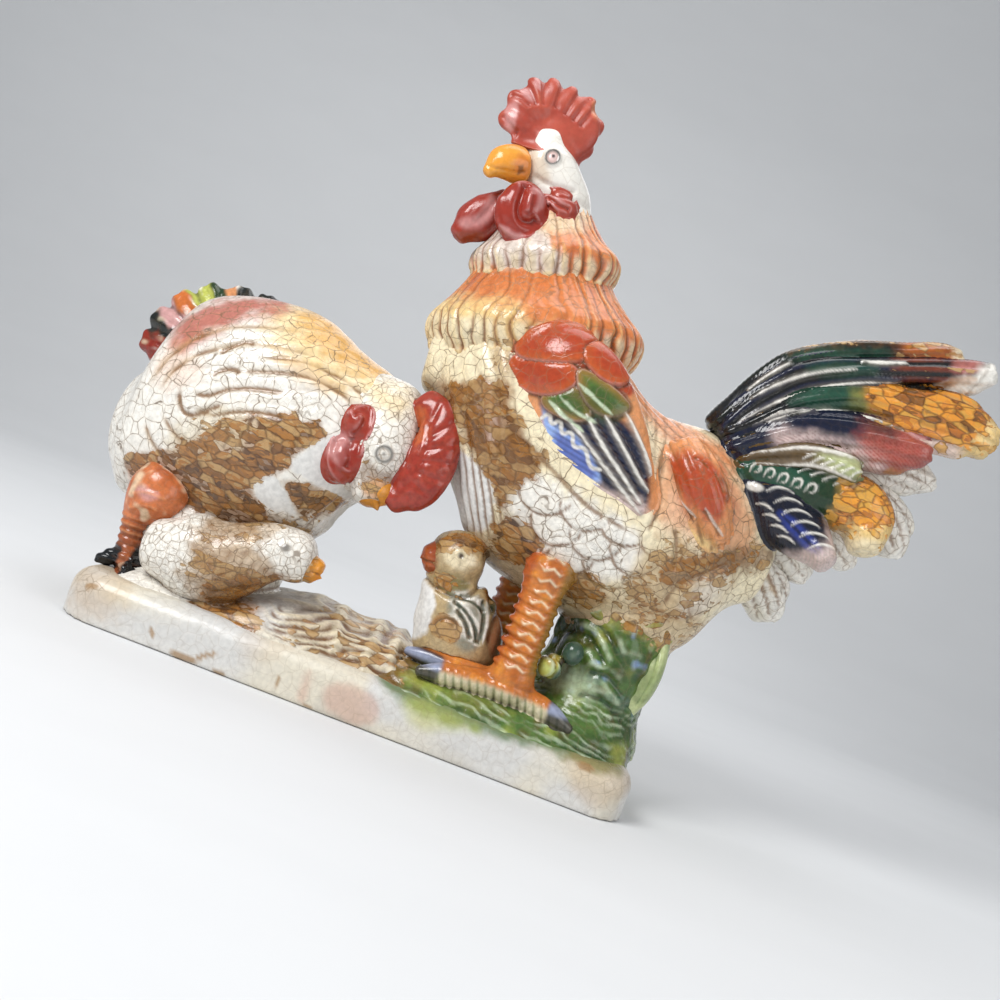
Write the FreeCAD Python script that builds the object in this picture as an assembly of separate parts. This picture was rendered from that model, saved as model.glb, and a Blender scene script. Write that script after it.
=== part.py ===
import FreeCAD, Part
import math
import os

# A glazed poultry group on one plinth: a rooster, a hen with her head down and two chicks.
# Millimetres. X runs along the plinth from the hen to the rooster's tail, Y away from the
# viewer and Z up. The origin is the middle of the plinth's foot. Every casting or applied
# piece is a solid of its own and meets the pieces that carry it face to face.

Point = FreeCAD.Vector

# Plinth
PLINTH_LENGTH = 240.0
PLINTH_DEPTH = 100.0
PLINTH_HEIGHT = 20.0
PLINTH_CORNER = 17.0
PLINTH_EDGE = 8.5
HOLLOW_EDGE = 2.0
VENT_RADIUS = 5.0
VENT_X = -40.0

# Castings
WALL = 6.5
DRAIN_RADIUS = 6.0
ROOSTER_DRAIN_X = 96.0
HEN_DRAIN_X = -84.0
CAP_ANGLES = (32.0, 58.0, 78.0)

# Legs
LEG_TOP = 86.0
LEG_FOOT = 36.0
SCUTES = 9
SCUTE_PITCH = 4.6

# Stations are (x, y, z, half height, half depth) along a body, from one end to the other
HEN_BODY = [
    (-135, 9, 79, 24, 21),
    (-125, 9, 90, 44, 34),
    (-108, 8, 95, 51, 42),
    (-88, 6, 96, 54, 46),
    (-68, 4, 95.5, 53.5, 46),
    (-51, 2, 95, 47, 42),
    (-38, 0, 100, 38, 34),
    (-27, -3, 107, 26, 25),
]
HEN_HEAD = [
    (-28, -10, 121, 16, 16),
    (-27, -17, 112, 16, 17),
    (-25, -22, 102, 15, 16),
    (-24, -24, 94, 13, 13.5),
    (-22, -26, 88, 9, 10),
]
HEN_COMB = [
    (-14, -20, 129, 7, 5),
    (-5, -24, 124, 9.5, 5.5),
    (-2.5, -27, 112, 10, 6),
    (-3.5, -28, 101, 10.5, 6),
    (-7, -28, 92, 9, 5.5),
    (-12, -28, 87, 5.5, 4.5),
]
ROOSTER_BODY = [
    (-14, 0, 152, 20, 19),
    (-5, 0, 149, 31, 29),
    (7, 0, 144, 43, 38),
    (23, 0, 136, 55, 43),
    (44, 0, 129, 57, 45),
    (64, 0, 119.5, 52, 45),
    (82, 0, 113.5, 49, 42),
    (100, 0, 113, 50, 38),
    (116, 0, 112, 47, 31),
    (128, 0, 114, 37, 24),
    (139, 0, 119, 23, 16),
]
ROOSTER_HEAD = [
    (9, -2, 222, 13, 13),
    (7.5, -3, 230, 13.5, 13),
    (0.5, -5, 238.5, 13, 13.5),
    (-5, -6, 246, 12, 12.5),
    (-7, -7, 251.5, 9.5, 10),
]
LEFT_CHICK = [
    (-90, -32, 36, 13, 14),
    (-82, -32, 37, 17, 16),
    (-70, -32, 38, 17.5, 16),
    (-58, -32, 44, 14.5, 14),
    (-48, -32, 50, 12, 12.5),
    (-40, -32, 51.5, 11, 11.5),
]
RIGHT_CHICK = [
    (22, -15, 62, 12.5, 12),
    (27, -15, 54, 17, 15),
    (32, -15, 45, 19, 16),
    (34, -15, 36, 18.5, 16),
    (34, -15, 28, 15, 14),
]
STUMP_LEAF = [
    (111, -16, 42, 4, 6),
    (114, -16, 52, 4.5, 8),
    (114.5, -15, 62, 4.5, 8),
    (114, -14, 71, 3.5, 5),
]

# Hackle collars: (radius, height) from the hidden inside of the lip up to the neck
LOWER_HACKLE = [(38, -11), (46.5, -2.5), (46.5, 2.5), (42, 9), (34.5, 18), (30, 25), (27, 33)]
UPPER_HACKLE = [(26, -8), (32, -2), (32, 2.5), (28, 7.5), (22.5, 15), (18.5, 23), (15.5, 30)]
HACKLE_DEPTH_SHARE = 0.87

# Tips of the rooster comb's lobes and of the hen's tail feathers, from left to right
COMB_HEART = (-7, 254)
COMB_TIPS = [
    (-30, 255),
    (-29, 266),
    (-23, 275),
    (-14.5, 279),
    (-4.5, 279),
    (5.5, 278),
    (12.5, 270),
    (12.5, 258),
]
HEN_TAIL_ROOT = (-100, 20, 115)
HEN_TAIL_TIPS = [
    (-150, 113),
    (-149, 125),
    (-142, 137),
    (-131, 145.5),
    (-117, 150),
    (-102, 151),
    (-88, 149.5),
]

# Tail plumes: half depth, then (x, y, z, half height) from the root to the tip
PLUMES = {
    "tail_sickle_top": (
        7.5,
        [
            (103, -3, 167, 4),
            (109.5, -3, 178, 5),
            (123.5, -4, 202, 5.3),
            (136, -4, 210.5, 5),
            (151, -5, 218, 5.3),
            (167, -5, 223, 5),
            (181, -6, 228, 4.8),
            (188, -6, 230, 4),
        ],
    ),
    "tail_sickle_second": (
        9,
        [
            (107, -4, 166, 4.5),
            (115, -5, 180, 7.9),
            (124, -5, 192, 8.7),
            (138, -6, 203, 8.7),
            (152, -7, 208, 7),
            (169, -7, 215, 6.5),
            (183, -8, 220, 6.5),
            (196, -8, 223, 8),
            (203, -9, 226, 6),
        ],
    ),
    "tail_plume_gold": (
        9.5,
        [
            (109, -5, 164, 4),
            (118, -6, 172, 4.5),
            (127, -7, 182, 5),
            (141, -8, 192, 6),
            (157, -9, 198, 7.5),
            (175, -10, 198, 11.5),
            (190, -10, 200, 13.7),
            (202, -11, 201, 13),
            (210, -12, 200, 9),
        ],
    ),
    "tail_plume_blue": (
        10,
        [
            (113, -7, 159, 5),
            (122, -8, 165, 6.5),
            (132, -10, 173, 7.8),
            (145, -11, 179, 8.8),
            (162, -12, 181, 10.7),
            (178, -14, 181, 9.9),
            (187, -15, 184, 6),
        ],
    ),
    "tail_plume_slim": (
        8,
        [
            (118, -8, 155, 3.4),
            (127, -11, 161, 4.6),
            (141, -13, 165.5, 6.5),
            (153, -16, 167, 6.5),
            (162, -18, 166, 5),
        ],
    ),
    "tail_plume_round": (
        10,
        [
            (121, -8, 152, 5),
            (135, -9, 154, 7.5),
            (148, -11, 154.5, 10),
            (161, -12, 155, 12.5),
            (171, -14, 153, 13.7),
            (177, -15, 147, 12),
            (178, -17, 141, 8),
        ],
    ),
    "tail_covert": (
        9,
        [
            (127, -9, 146, 6),
            (137, -12, 142, 10.5),
            (149, -15, 136, 11.9),
            (158, -18, 132, 9.4),
            (163, -21, 128, 6),
        ],
    ),
    "tail_far_upper": (
        9,
        [
            (110, 4, 168, 5),
            (121, 5, 183, 6.7),
            (135, 6, 195, 7.6),
            (155, 7, 204, 8.5),
            (177, 7, 209, 10),
            (196, 8, 212, 10),
            (205, 9, 213, 6.7),
        ],
    ),
    "tail_far_middle": (
        10,
        [
            (116, 6, 164, 5),
            (130, 8, 174, 7.6),
            (147, 9, 179, 8.5),
            (166, 10, 179, 10.3),
            (184, 11, 178, 10.8),
            (195, 13, 178, 9.4),
            (202, 14, 178, 6.3),
        ],
    ),
    "tail_far_round": (
        10,
        [
            (122, 7, 160, 5.4),
            (138, 9, 164, 8),
            (158, 10, 164, 10.3),
            (176, 12, 162, 12),
            (190, 13, 157, 12.2),
            (197, 15, 151, 11),
            (199, 16, 146, 7.7),
        ],
    ),
    "tail_far_covert": (
        9,
        [
            (128, 7, 150, 6),
            (146, 9, 150, 8.5),
            (163, 11, 145, 9.9),
            (175, 13, 138, 9.4),
            (181, 15, 133, 6.8),
        ],
    ),
    "tail_far_short": (
        9,
        [
            (133, 8, 140, 6.7),
            (146, 11, 133, 9.4),
            (158, 14, 126, 9.5),
            (165, 17, 121, 6.8),
        ],
    ),
    "tail_far_lobe": (
        9,
        [
            (134, 9, 124, 7.6),
            (146, 12, 114, 10.8),
            (155, 16, 105.5, 11.7),
            (158, 19, 101, 9.1),
        ],
    ),
}

os.makedirs("parts", exist_ok=True)
saved = {}


# Basic shapes
def ellipse_wire(centre, along, half_up, half_deep):
    """An ellipse square to along, half_up in the figure's plane and half_deep across it."""
    deep = Point(0, 1, 0) - along * along.y
    deep.normalize()
    up = deep.cross(along)
    curve = Part.Circle(Point(0, 0, 0), Point(0, 0, 1), 1.0).toBSpline()
    for i, pole in enumerate(curve.getPoles(), start=1):
        curve.setPole(i, centre + up * (pole.x * half_up) + deep * (pole.y * half_deep))
    return Part.Wire([curve.toShape()])


def lofted(stations, domes=(0.8, 0.8), shrink=0.0, upright=False):
    """A solid through stations, with an end dome whose height is a share of its radius.

    Rings stand square to the line through the stations, or upright across the figure.
    """
    points = [Point(*s[:3]) for s in stations]
    last = len(points) - 1
    rings = []
    for i, station in enumerate(stations):
        along = points[min(i + 1, last)] - points[max(i - 1, 0)]
        if upright:
            along = Point(1, 0, 0)
        rings.append((points[i], along.normalize(), station[3] - shrink, station[4] - shrink))
    caps = []
    for ring, dome, sign in ((rings[0], domes[0], -1.0), (rings[-1], domes[1], 1.0)):
        centre, along, half_up, half_deep = ring
        reach = sign * dome * min(half_up, half_deep)
        cap = []
        for degrees in CAP_ANGLES:
            rise, share = math.sin(math.radians(degrees)), math.cos(math.radians(degrees))
            cap.append((centre + along * (reach * rise), along, half_up * share, half_deep * share))
        caps.append(cap)
    rings = caps[0][::-1] + rings + caps[1]
    return Part.makeLoft([ellipse_wire(*ring) for ring in rings], True, False)


def egg(centre, radii, turn=0.0, yaw=0.0):
    """An ellipsoid, turned about Y by turn degrees, right end down, then about Z by yaw."""
    scale = FreeCAD.Matrix()
    scale.scale(Point(*radii))
    solid = Part.makeSphere(1.0).transformGeometry(scale)
    solid.rotate(Point(0, 0, 0), Point(0, 1, 0), turn)
    solid.rotate(Point(0, 0, 0), Point(0, 0, 1), yaw)
    solid.translate(Point(*centre))
    return solid


def collar(profile, centre, lean):
    """A flared collar through rings of the profile, flattened and leaning to the left."""
    turn = math.radians(lean)
    along = Point(-math.sin(turn), 0, math.cos(turn))
    rings = []
    for radius, height in profile:
        place = Point(*centre) + along * height
        rings.append(ellipse_wire(place, along, radius, radius * HACKLE_DEPTH_SHARE))
    return Part.makeLoft(rings, True, False)


def rounded_block(length, depth, bottom, top, corner, edge):
    """A block with round corners in plan and a round upper edge."""
    block = Part.makeBox(length, depth, top - bottom, Point(-length / 2, -depth / 2, bottom))
    block = block.makeFillet(corner, [e for e in block.Edges if e.BoundBox.ZLength > 1])
    return block.makeFillet(edge, [e for e in block.Edges if e.BoundBox.ZMin > top - 0.01])


def largest(shape):
    return max(shape.Solids, key=lambda solid: solid.Volume)


def seated(piece, *carriers):
    """The piece without the room of its carriers, so that they meet face to face."""
    for carrier in carriers:
        if piece.BoundBox.intersect(carrier.BoundBox):
            piece = largest(piece.cut(carrier))
    return piece


def save(name, *solids):
    shape = solids[0] if len(solids) == 1 else Part.makeCompound(list(solids))
    if not shape.isValid():
        print("not valid:", name)
    shape.exportStep(f"parts/{name}.step")
    saved[name] = shape
    return shape


# Ground
def plinth_block():
    return rounded_block(
        PLINTH_LENGTH, PLINTH_DEPTH, 0, PLINTH_HEIGHT, PLINTH_CORNER, PLINTH_EDGE
    )


def plinth_casting(block):
    """The hollow plinth with a closed foot and one vent in it."""
    length, depth = PLINTH_LENGTH - 2 * WALL, PLINTH_DEPTH - 2 * WALL
    corner = PLINTH_CORNER - WALL
    hollow = rounded_block(length, depth, WALL, PLINTH_HEIGHT - WALL, corner, HOLLOW_EDGE)
    vent = Part.makeCylinder(VENT_RADIUS, 2 * WALL, Point(VENT_X, 0, -WALL / 2))
    return block.cut(hollow).cut(vent)


def rock_mound():
    """The rocky ground under the hen and between the birds."""
    return lofted(
        [
            (-104, 0, 19, 7, 36),
            (-84, 0, 19, 9, 40),
            (-56, 0, 20, 9, 41),
            (-34, -2, 22, 12, 41),
            (-16, 0, 20, 12, 39),
            (2, 0, 20, 12, 39),
            (16, 0, 20, 10, 37),
        ]
    )


def grass_mound():
    """The grassy ground under the rooster."""
    return lofted(
        [
            (12, -2, 19, 11, 38),
            (30, -3, 19, 12, 41),
            (60, -3, 19, 13, 42),
            (88, -2, 19, 13, 40),
            (104, 0, 18, 10, 34),
        ]
    )


def stump_solid():
    """The grassy stump that carries the rooster's belly."""
    stations = [
        (94, 0, 20, 28, 38),
        (94, 0, 34, 25, 33),
        (95, 0, 50, 24, 30),
        (97, 1, 66, 24, 30),
        (98, 2, 84, 22, 28),
    ]
    return lofted(stations, (0.3, 0.3))


def hen_seat_solid():
    """The skirt of feathers on which the hen's belly rests."""
    return lofted([(-84, 4, 22, 30, 30), (-82, 4, 50, 32, 32)], (0.2, 0.2))


def drain(x, bottom, length):
    return Part.makeCylinder(DRAIN_RADIUS, length, Point(x, 2, bottom))


# Bird parts
def hollow_of(stations):
    """The room inside a slip-cast body."""
    return lofted(stations[1:-1], (0.1, 0.1), WALL, True)


def comb_fan():
    """The rooster's comb: lobes that fan out from the head, fused with a flat heart."""
    core = egg((-8, -8, 262), (20.5, 4.6, 15))
    lobes = []
    for x, z in COMB_TIPS:
        way = Point(x - COMB_HEART[0], 0, z - COMB_HEART[1])
        middle = Point(COMB_HEART[0], 0, COMB_HEART[1]) + way * 0.62
        depth = -4 - (6 - middle.x) * 0.28
        radii = (way.Length * 0.38, 4.8, 5.6)
        turn = -math.degrees(math.atan2(way.z, way.x))
        lobes.append(egg((middle.x, depth, middle.z), radii, turn))
    return largest(core.multiFuse(lobes))


def hen_tail_feather(tip):
    root, end = Point(*HEN_TAIL_ROOT), Point(tip[0], HEN_TAIL_ROOT[1] + 5, tip[1])
    stations = []
    for share, half_up, half_deep in ((0.3, 5, 6), (0.6, 9, 7), (0.84, 9, 6), (0.94, 6, 4.5)):
        place = root + (end - root) * share
        stations.append((*place, half_up, half_deep))
    return lofted(stations)


def wing(side):
    """A folded wing: scale feathers at the shoulder, then the long primaries."""
    stations = [
        (18, 31, 162, 10, 8),
        (30, 38, 162, 16, 10),
        (44, 41, 154, 19, 10.5),
        (58, 41, 143, 17, 10.5),
        (71, 39, 132, 12, 9.5),
        (81, 35, 123, 6.5, 8),
    ]
    return lofted([(x, side * y, z, up, deep) for x, y, z, up, deep in stations])


def saddle_feather(side):
    """The long red feather that hangs from the back behind the wing."""
    stations = [
        (94, 28, 148, 8, 8),
        (101, 33, 140, 10, 9),
        (109, 33, 131, 9.5, 9),
        (116, 30, 122, 6, 7),
    ]
    return lofted([(x, side * y, z, up, deep) for x, y, z, up, deep in stations])


def hen_leg(y):
    """Thigh and shank in one."""
    return lofted(
        [
            (-103, y, 58, 12, 10),
            (-105, y, 51, 12, 10),
            (-108, y, 44, 7.5, 7),
            (-108.5, y, 36, 4.8, 5),
            (-107, y, 28, 4.6, 5),
        ]
    )


def scuted_leg(x, y):
    """The rooster's shank with its rings of scutes."""
    shank = lofted(
        [
            (x, y, LEG_TOP, 9.5, 9),
            (x, y, LEG_TOP - 12, 8.4, 8.2),
            (x + 0.6, y, (LEG_TOP + LEG_FOOT) / 2, 7.8, 7.8),
            (x + 1, y, LEG_FOOT + 8, 8, 8),
            (x + 1, y, LEG_FOOT, 9, 9),
        ],
        (0.3, 0.3),
    )
    rings = []
    for i in range(SCUTES):
        height = LEG_FOOT + 5 + i * SCUTE_PITCH
        rings.append(egg((x + 0.5, y, height), (9.0, 8.9, 2.6), 6.0))
    return largest(shank.multiFuse(rings))


def toe(start, end, thick):
    """One toe, thick at the knuckle, running out into its claw."""
    start, end = Point(*start), Point(*end)
    stations = []
    for share, size in ((0.0, 1.0), (0.35, 0.94), (0.72, 0.8), (0.94, 0.42)):
        place = start + (end - start) * share + Point(0, 0, 1.2 * math.sin(share * math.pi))
        stations.append((*place, thick * size, thick * size))
    return lofted(stations)


def foot(heel, radii, toes):
    """Toes and heel in one casting."""
    x, y, z = heel
    reach, deep, high = radii
    pad = []
    for share, size in ((-0.6, 0.78), (-0.2, 0.98), (0.2, 0.98), (0.6, 0.78)):
        pad.append((x + share * reach, y, z, high * size, deep * size))
    spread = [toe((x, y, z - 0.5), end, thick) for end, thick in toes]
    return largest(lofted(pad).multiFuse(spread))


# Assembly
def build_hen(block, rock, body, rooster_body):
    seat = seated(hen_seat_solid(), block, rock, body)
    bore = drain(HEN_DRAIN_X, 10, 50)
    save("hen_body", body.cut(hollow_of(HEN_BODY)).cut(bore))
    save("hen_seat", seat.cut(bore))
    head = lofted(HEN_HEAD)
    save("hen_head", seated(head, body))
    beak_shape = lofted(
        [(-21, -26, 89, 7.5, 7.5), (-17.5, -28.5, 84, 5.2, 5.2), (-15.5, -30, 79.5, 2.6, 2.6)]
    )
    beak = save("hen_beak", seated(beak_shape, head, body))
    save("hen_comb", seated(lofted(HEN_COMB), head, body, rooster_body, beak))
    wattle = egg((-36.5, -31, 95), (8.5, 8.5, 10), 20)
    wattle = save("hen_wattle", seated(wattle, head, body, beak))
    lobe = egg((-36, -30, 110.5), (6.5, 8.5, 8), -10)
    save("hen_earlobe", seated(lobe, head, body, wattle))
    laid = []
    for number, tip in enumerate(HEN_TAIL_TIPS, start=1):
        laid.append(seated(hen_tail_feather(tip), body, *laid))
        save(f"hen_tail_feather_{number}", laid[-1])
    for side, y, outward in (("near", -24, -1), ("far", 28, 1)):
        toes = [((-117, y + 5 * outward, 21), 3.6), ((-102, y + 13 * outward, 21), 3.4)]
        its_foot = seated(foot((-106, y, 25), (7, 7, 5.5), toes), block, rock)
        save(f"hen_foot_{side}", its_foot)
        save(f"hen_leg_{side}", seated(hen_leg(y), body, rock, its_foot, seat))
    return seat


def build_left_chick(block, rock, hen_body, hen_seat):
    whole = lofted(LEFT_CHICK)
    carriers = (block, rock, hen_body, hen_seat, saved["hen_leg_near"], saved["hen_foot_near"])
    save("left_chick", seated(whole, *carriers))
    beak = lofted(
        [(-33, -33, 49.5, 5.5, 5.5), (-29, -33.5, 48, 4.4, 4.2), (-25, -34, 46.5, 2, 2)]
    )
    save("left_chick_beak", seated(beak, whole))


def build_rooster(body, bore):
    save("rooster_body", body.cut(hollow_of(ROOSTER_BODY)).cut(bore))
    lower = collar(LOWER_HACKLE, (18, 0, 174), 14)
    upper = collar(UPPER_HACKLE, (11, -1, 204), 18)
    head = lofted(ROOSTER_HEAD)
    save("rooster_hackle_lower", seated(lower, body))
    save("rooster_hackle_upper", seated(upper, body, lower))
    save("rooster_head", seated(head, upper))
    beak = lofted(
        [
            (-12, -12, 237.5, 7.5, 7.5),
            (-18, -16, 236.5, 7.8, 7.2),
            (-22.5, -18.5, 233, 6, 5.6),
            (-24.5, -20, 229, 3.2, 3.2),
        ]
    )
    beak = save("rooster_beak", seated(beak, head, upper))
    save("rooster_comb", seated(comb_fan(), head, beak))
    near = egg((-5.5, -20, 217.5), (11.2, 7, 13.4), -8, 20)
    near = save("rooster_wattle_near", seated(near, head, upper, beak))
    far = lofted(
        [
            (-15.5, -8, 223.5, 4.5, 4.5),
            (-18.5, -8.5, 218.5, 7, 6.2),
            (-22, -9, 212.5, 8.6, 7),
            (-25, -9.5, 207, 8.2, 6.8),
            (-27.5, -10, 203, 5.2, 4.6),
        ]
    )
    save("rooster_wattle_far", seated(far, head, upper, beak, near))
    lobe = egg((8, -15, 227), (8, 6, 6), 8)
    save("rooster_earlobe", seated(lobe, head, upper, near))
    for side, sign in (("near", -1), ("far", 1)):
        save(f"rooster_wing_{side}", seated(wing(sign), body, lower))
        save(f"rooster_saddle_{side}", seated(saddle_feather(sign), body))
    laid = []
    for name, (half_deep, places) in PLUMES.items():
        plume = lofted([(*place, half_deep) for place in places])
        laid.append(save(name, seated(plume, body, *laid)))


def build_rooster_legs(block, rock, bank, stump, body):
    """The feet sit on the ground; the grassy ground is fitted round them."""
    near_toes = [((21, -40, 27), 5.4), ((13, -26, 31), 4.6), ((89, -38, 26), 5.4)]
    far_toes = [((18, 26, 30), 4.6), ((24, 40, 26), 4.6), ((78, 30, 28), 4.6)]
    near = seated(foot((59, -33, 33), (10, 10, 6.5), near_toes), block)
    far = seated(foot((50, 22, 32), (10, 10, 6.5), far_toes), block)
    bank = save("grass_mound", seated(bank, near, far, stump))
    near = save("rooster_foot_near", seated(near, rock, stump))
    far = save("rooster_foot_far", seated(far, rock, stump))
    carriers = (body, stump, bank)
    save("rooster_leg_near", seated(scuted_leg(58, -33), near, *carriers))
    save("rooster_leg_far", seated(scuted_leg(50, 20), far, *carriers))
    return bank


def build_right_chick(*carriers):
    body = lofted(RIGHT_CHICK)
    save("right_chick_body", seated(body, *carriers))
    head = egg((21.5, -16, 73), (13, 12.5, 12.5))
    save("right_chick_head", seated(head, body, *carriers))
    beak = lofted([(12, -18, 70, 5.5, 5.5), (8, -19, 68.8, 4.4, 4.4), (4.5, -20, 67, 2, 2)])
    save("right_chick_beak", seated(beak, head, body))


def build():
    block, rock = plinth_block(), rock_mound()
    hen_body = lofted(HEN_BODY, (0.25, 0.4), upright=True)
    rooster_body = lofted(ROOSTER_BODY, (0.5, 0.6), upright=True)
    save("plinth", plinth_casting(block))
    rock = save("rock_mound", seated(rock, block))
    bank = seated(grass_mound(), block, rock)
    stump = seated(stump_solid(), block, bank, rooster_body)
    bore = drain(ROOSTER_DRAIN_X, 10, 80)
    save("stump", stump.cut(bore))
    hen_seat = build_hen(block, rock, hen_body, rooster_body)
    build_left_chick(block, rock, hen_body, hen_seat)
    build_rooster(rooster_body, bore)
    bank = build_rooster_legs(block, rock, bank, stump, rooster_body)
    limbs = [saved[f"rooster_{part}_{side}"] for part in ("leg", "foot") for side in ("near", "far")]
    build_right_chick(block, rock, bank, rooster_body, *limbs)
    bud_places = (((73, -30, 47), (5, 5, 5.5)), ((79, -31, 55), (4.5, 4.5, 5)))
    save("stump_buds", *[seated(egg(*place), stump) for place in bud_places])
    leaf = lofted(STUMP_LEAF)
    save("stump_leaf", seated(leaf, stump, rooster_body, block))
    for name, shape in sorted(saved.items()):
        print(f"{name}: {len(shape.Solids)} solid, {shape.Volume / 1000:.2f} ml")
    print(len(saved), "nodes")


build()
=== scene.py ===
"""A glazed poultry group on one plinth: a rooster, a hen with her head down and two chicks.

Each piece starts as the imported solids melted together, is carved in relief along its outer
skin and then painted by named patches and strokes. Lengths in the carving are millimetres
in the side view: x along the plinth, z up. The far side carries the same carving mirrored.
"""

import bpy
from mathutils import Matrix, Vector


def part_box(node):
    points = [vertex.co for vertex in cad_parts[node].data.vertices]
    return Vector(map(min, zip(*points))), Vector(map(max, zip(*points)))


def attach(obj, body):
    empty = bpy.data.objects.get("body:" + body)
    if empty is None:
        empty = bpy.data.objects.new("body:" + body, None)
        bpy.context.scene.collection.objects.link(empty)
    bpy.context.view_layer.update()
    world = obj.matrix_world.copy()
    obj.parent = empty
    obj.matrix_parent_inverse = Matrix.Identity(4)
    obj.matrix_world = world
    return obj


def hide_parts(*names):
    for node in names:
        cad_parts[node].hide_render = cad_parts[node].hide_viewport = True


bl_info = {
    "name": "Glazed Poultry Group",
    "version": (1, 0, 0),
    "blender": (4, 5, 0),
    "location": "View3D > Sidebar > Poultry",
    "description": "Carves and glazes a rooster, a hen and two chicks over the packed solids",
    "category": "Object",
}

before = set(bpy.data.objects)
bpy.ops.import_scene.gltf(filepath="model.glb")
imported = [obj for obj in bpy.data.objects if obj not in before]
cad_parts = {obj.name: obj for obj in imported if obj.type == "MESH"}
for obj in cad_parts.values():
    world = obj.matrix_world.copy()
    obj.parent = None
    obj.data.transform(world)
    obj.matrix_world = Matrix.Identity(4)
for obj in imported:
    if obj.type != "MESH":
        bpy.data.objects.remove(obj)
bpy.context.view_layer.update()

import math

import bpy
import numpy as np
import openvdb
from mathutils import Matrix, Vector

MM = 0.001
ROLL = math.radians(21.0)
CAMERA_PLACE = (28.9, -480.0, 102.7)
VIEW_HALF_WIDTH = 217.5 / 480.0
END_SMOOTHING = 70.0
SEAT_DEPTH = 0.35


# Sizes and colours that a user would change
def size(label, about, default):
    """A length property in metres."""
    return bpy.props.FloatProperty(
        name=label, description=about, default=default, min=0.0001, precision=5, unit="LENGTH"
    )


def shade(label, about, default):
    """A colour property written as it looks on screen."""
    return bpy.props.FloatVectorProperty(
        name=label, description=about, default=default, min=0, max=1, subtype="COLOR_GAMMA"
    )


class PoultrySizes(bpy.types.PropertyGroup):
    """Mesh spacings, crackle sizes and the flake size."""

    plinth_grain: size("Plinth grain", "Spacing of the plinth's mesh", 0.0013)
    body_grain: size("Body grain", "Spacing of the birds' bodies and the ground", 0.0009)
    plume_grain: size("Plume grain", "Spacing of the tail plumes, wings and hackles", 0.00068)
    face_grain: size("Face grain", "Spacing of heads, combs, wattles and beaks", 0.0005)
    far_grain: size("Far grain", "Spacing of the plain pieces on the far side", 0.001)
    crackle_cell: size("Crackle cell", "Width of one island of crackled glaze", 0.0066)
    crackle_line: size("Crackle line", "Width of a crack in the glaze", 0.0002)
    flake_cell: size("Flake cell", "Width of one stained flake", 0.0048)


class PoultryColours(bpy.types.PropertyGroup):
    """The glazes, as they look on screen."""

    white: shade("White glaze", "Thick white crackle glaze", (0.92, 0.905, 0.87))
    bare: shade("Bare white", "Unglazed matte body", (0.87, 0.865, 0.85))
    cream: shade("Cream", "Cream glaze", (0.92, 0.87, 0.74))
    straw: shade("Straw", "Pale yellow glaze", (0.91, 0.80, 0.55))
    gold: shade("Gold", "Golden yellow glaze", (0.83, 0.62, 0.28))
    peach: shade("Peach", "Pale orange hackle glaze", (0.86, 0.58, 0.38))
    orange: shade("Orange", "Orange glaze", (0.79, 0.42, 0.19))
    brick: shade("Brick", "Red-orange scale feathers", (0.66, 0.25, 0.13))
    comb_red: shade("Comb red", "Terracotta red of the comb", (0.68, 0.29, 0.22))
    deep_red: shade("Deep red", "Thick dark red glaze", (0.54, 0.14, 0.10))
    pink: shade("Pink", "Glaze broken to pink on the ridges", (0.83, 0.63, 0.62))
    amber: shade("Amber", "Amber flakes", (0.64, 0.42, 0.16))
    beak: shade("Beak", "Orange-ochre of the beaks", (0.90, 0.60, 0.22))
    tan: shade("Tan", "Thin brown wash", (0.72, 0.58, 0.38))
    umber: shade("Umber", "Brown flakes", (0.45, 0.29, 0.13))
    coffee: shade("Coffee", "Dark brown in the deep hollows", (0.26, 0.16, 0.09))
    leaf: shade("Leaf green", "Green glaze of the grass", (0.30, 0.42, 0.19))
    moss: shade("Moss", "Dark green glaze", (0.12, 0.21, 0.10))
    lime: shade("Lime", "Yellow-green glaze", (0.72, 0.74, 0.34))
    mint: shade("Mint", "Pale green wash", (0.78, 0.84, 0.72))
    teal: shade("Teal", "Blue-green glaze", (0.14, 0.31, 0.24))
    navy: shade("Navy", "Dark blue glaze", (0.07, 0.10, 0.21))
    ink: shade("Ink", "Near-black glaze", (0.07, 0.08, 0.09))
    blue: shade("Blue", "Clear blue glaze", (0.20, 0.27, 0.62))
    sky: shade("Sky", "Light blue glaze", (0.58, 0.69, 0.90))
    slate: shade("Slate", "Grey stone", (0.66, 0.63, 0.59))
    crack: shade("Crack", "Stained cracks", (0.38, 0.30, 0.21))
    floor: shade("Floor", "Studio floor and backdrop", (0.86, 0.865, 0.87))


def linear(value):
    """A colour as it looks, turned into light."""
    value = np.asarray(value, float)
    return np.where(value <= 0.04045, value / 12.92, ((value + 0.055) / 1.055) ** 2.4)


class Palette:
    """The colours by name, as light."""

    def __init__(self, group):
        for name in PoultryColours.__annotations__:
            setattr(self, name, linear(getattr(group, name)))


# Noise, paths and masks
def step(low, high, value):
    """0 below low, 1 above high and smooth between them."""
    share = np.clip((value - low) / (high - low), 0.0, 1.0)
    return share * share * (3.0 - 2.0 * share)


def bell(value):
    """1 at 0, falling to nothing on both sides."""
    return np.exp(-(value**2))


def corner_values(cells, seed):
    """A fixed random value from -1 to 1 for each cell corner."""
    mixed = cells[:, 0] * 374761393 + cells[:, 1] * 668265263 + cells[:, 2] * 1442695041
    mixed = (mixed + seed * 974634777) & 0xFFFFFFFF
    mixed = ((mixed ^ (mixed >> 13)) * 1274126177) & 0xFFFFFFFF
    return ((mixed ^ (mixed >> 16)) & 0xFFFF) / 32767.5 - 1.0


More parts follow.
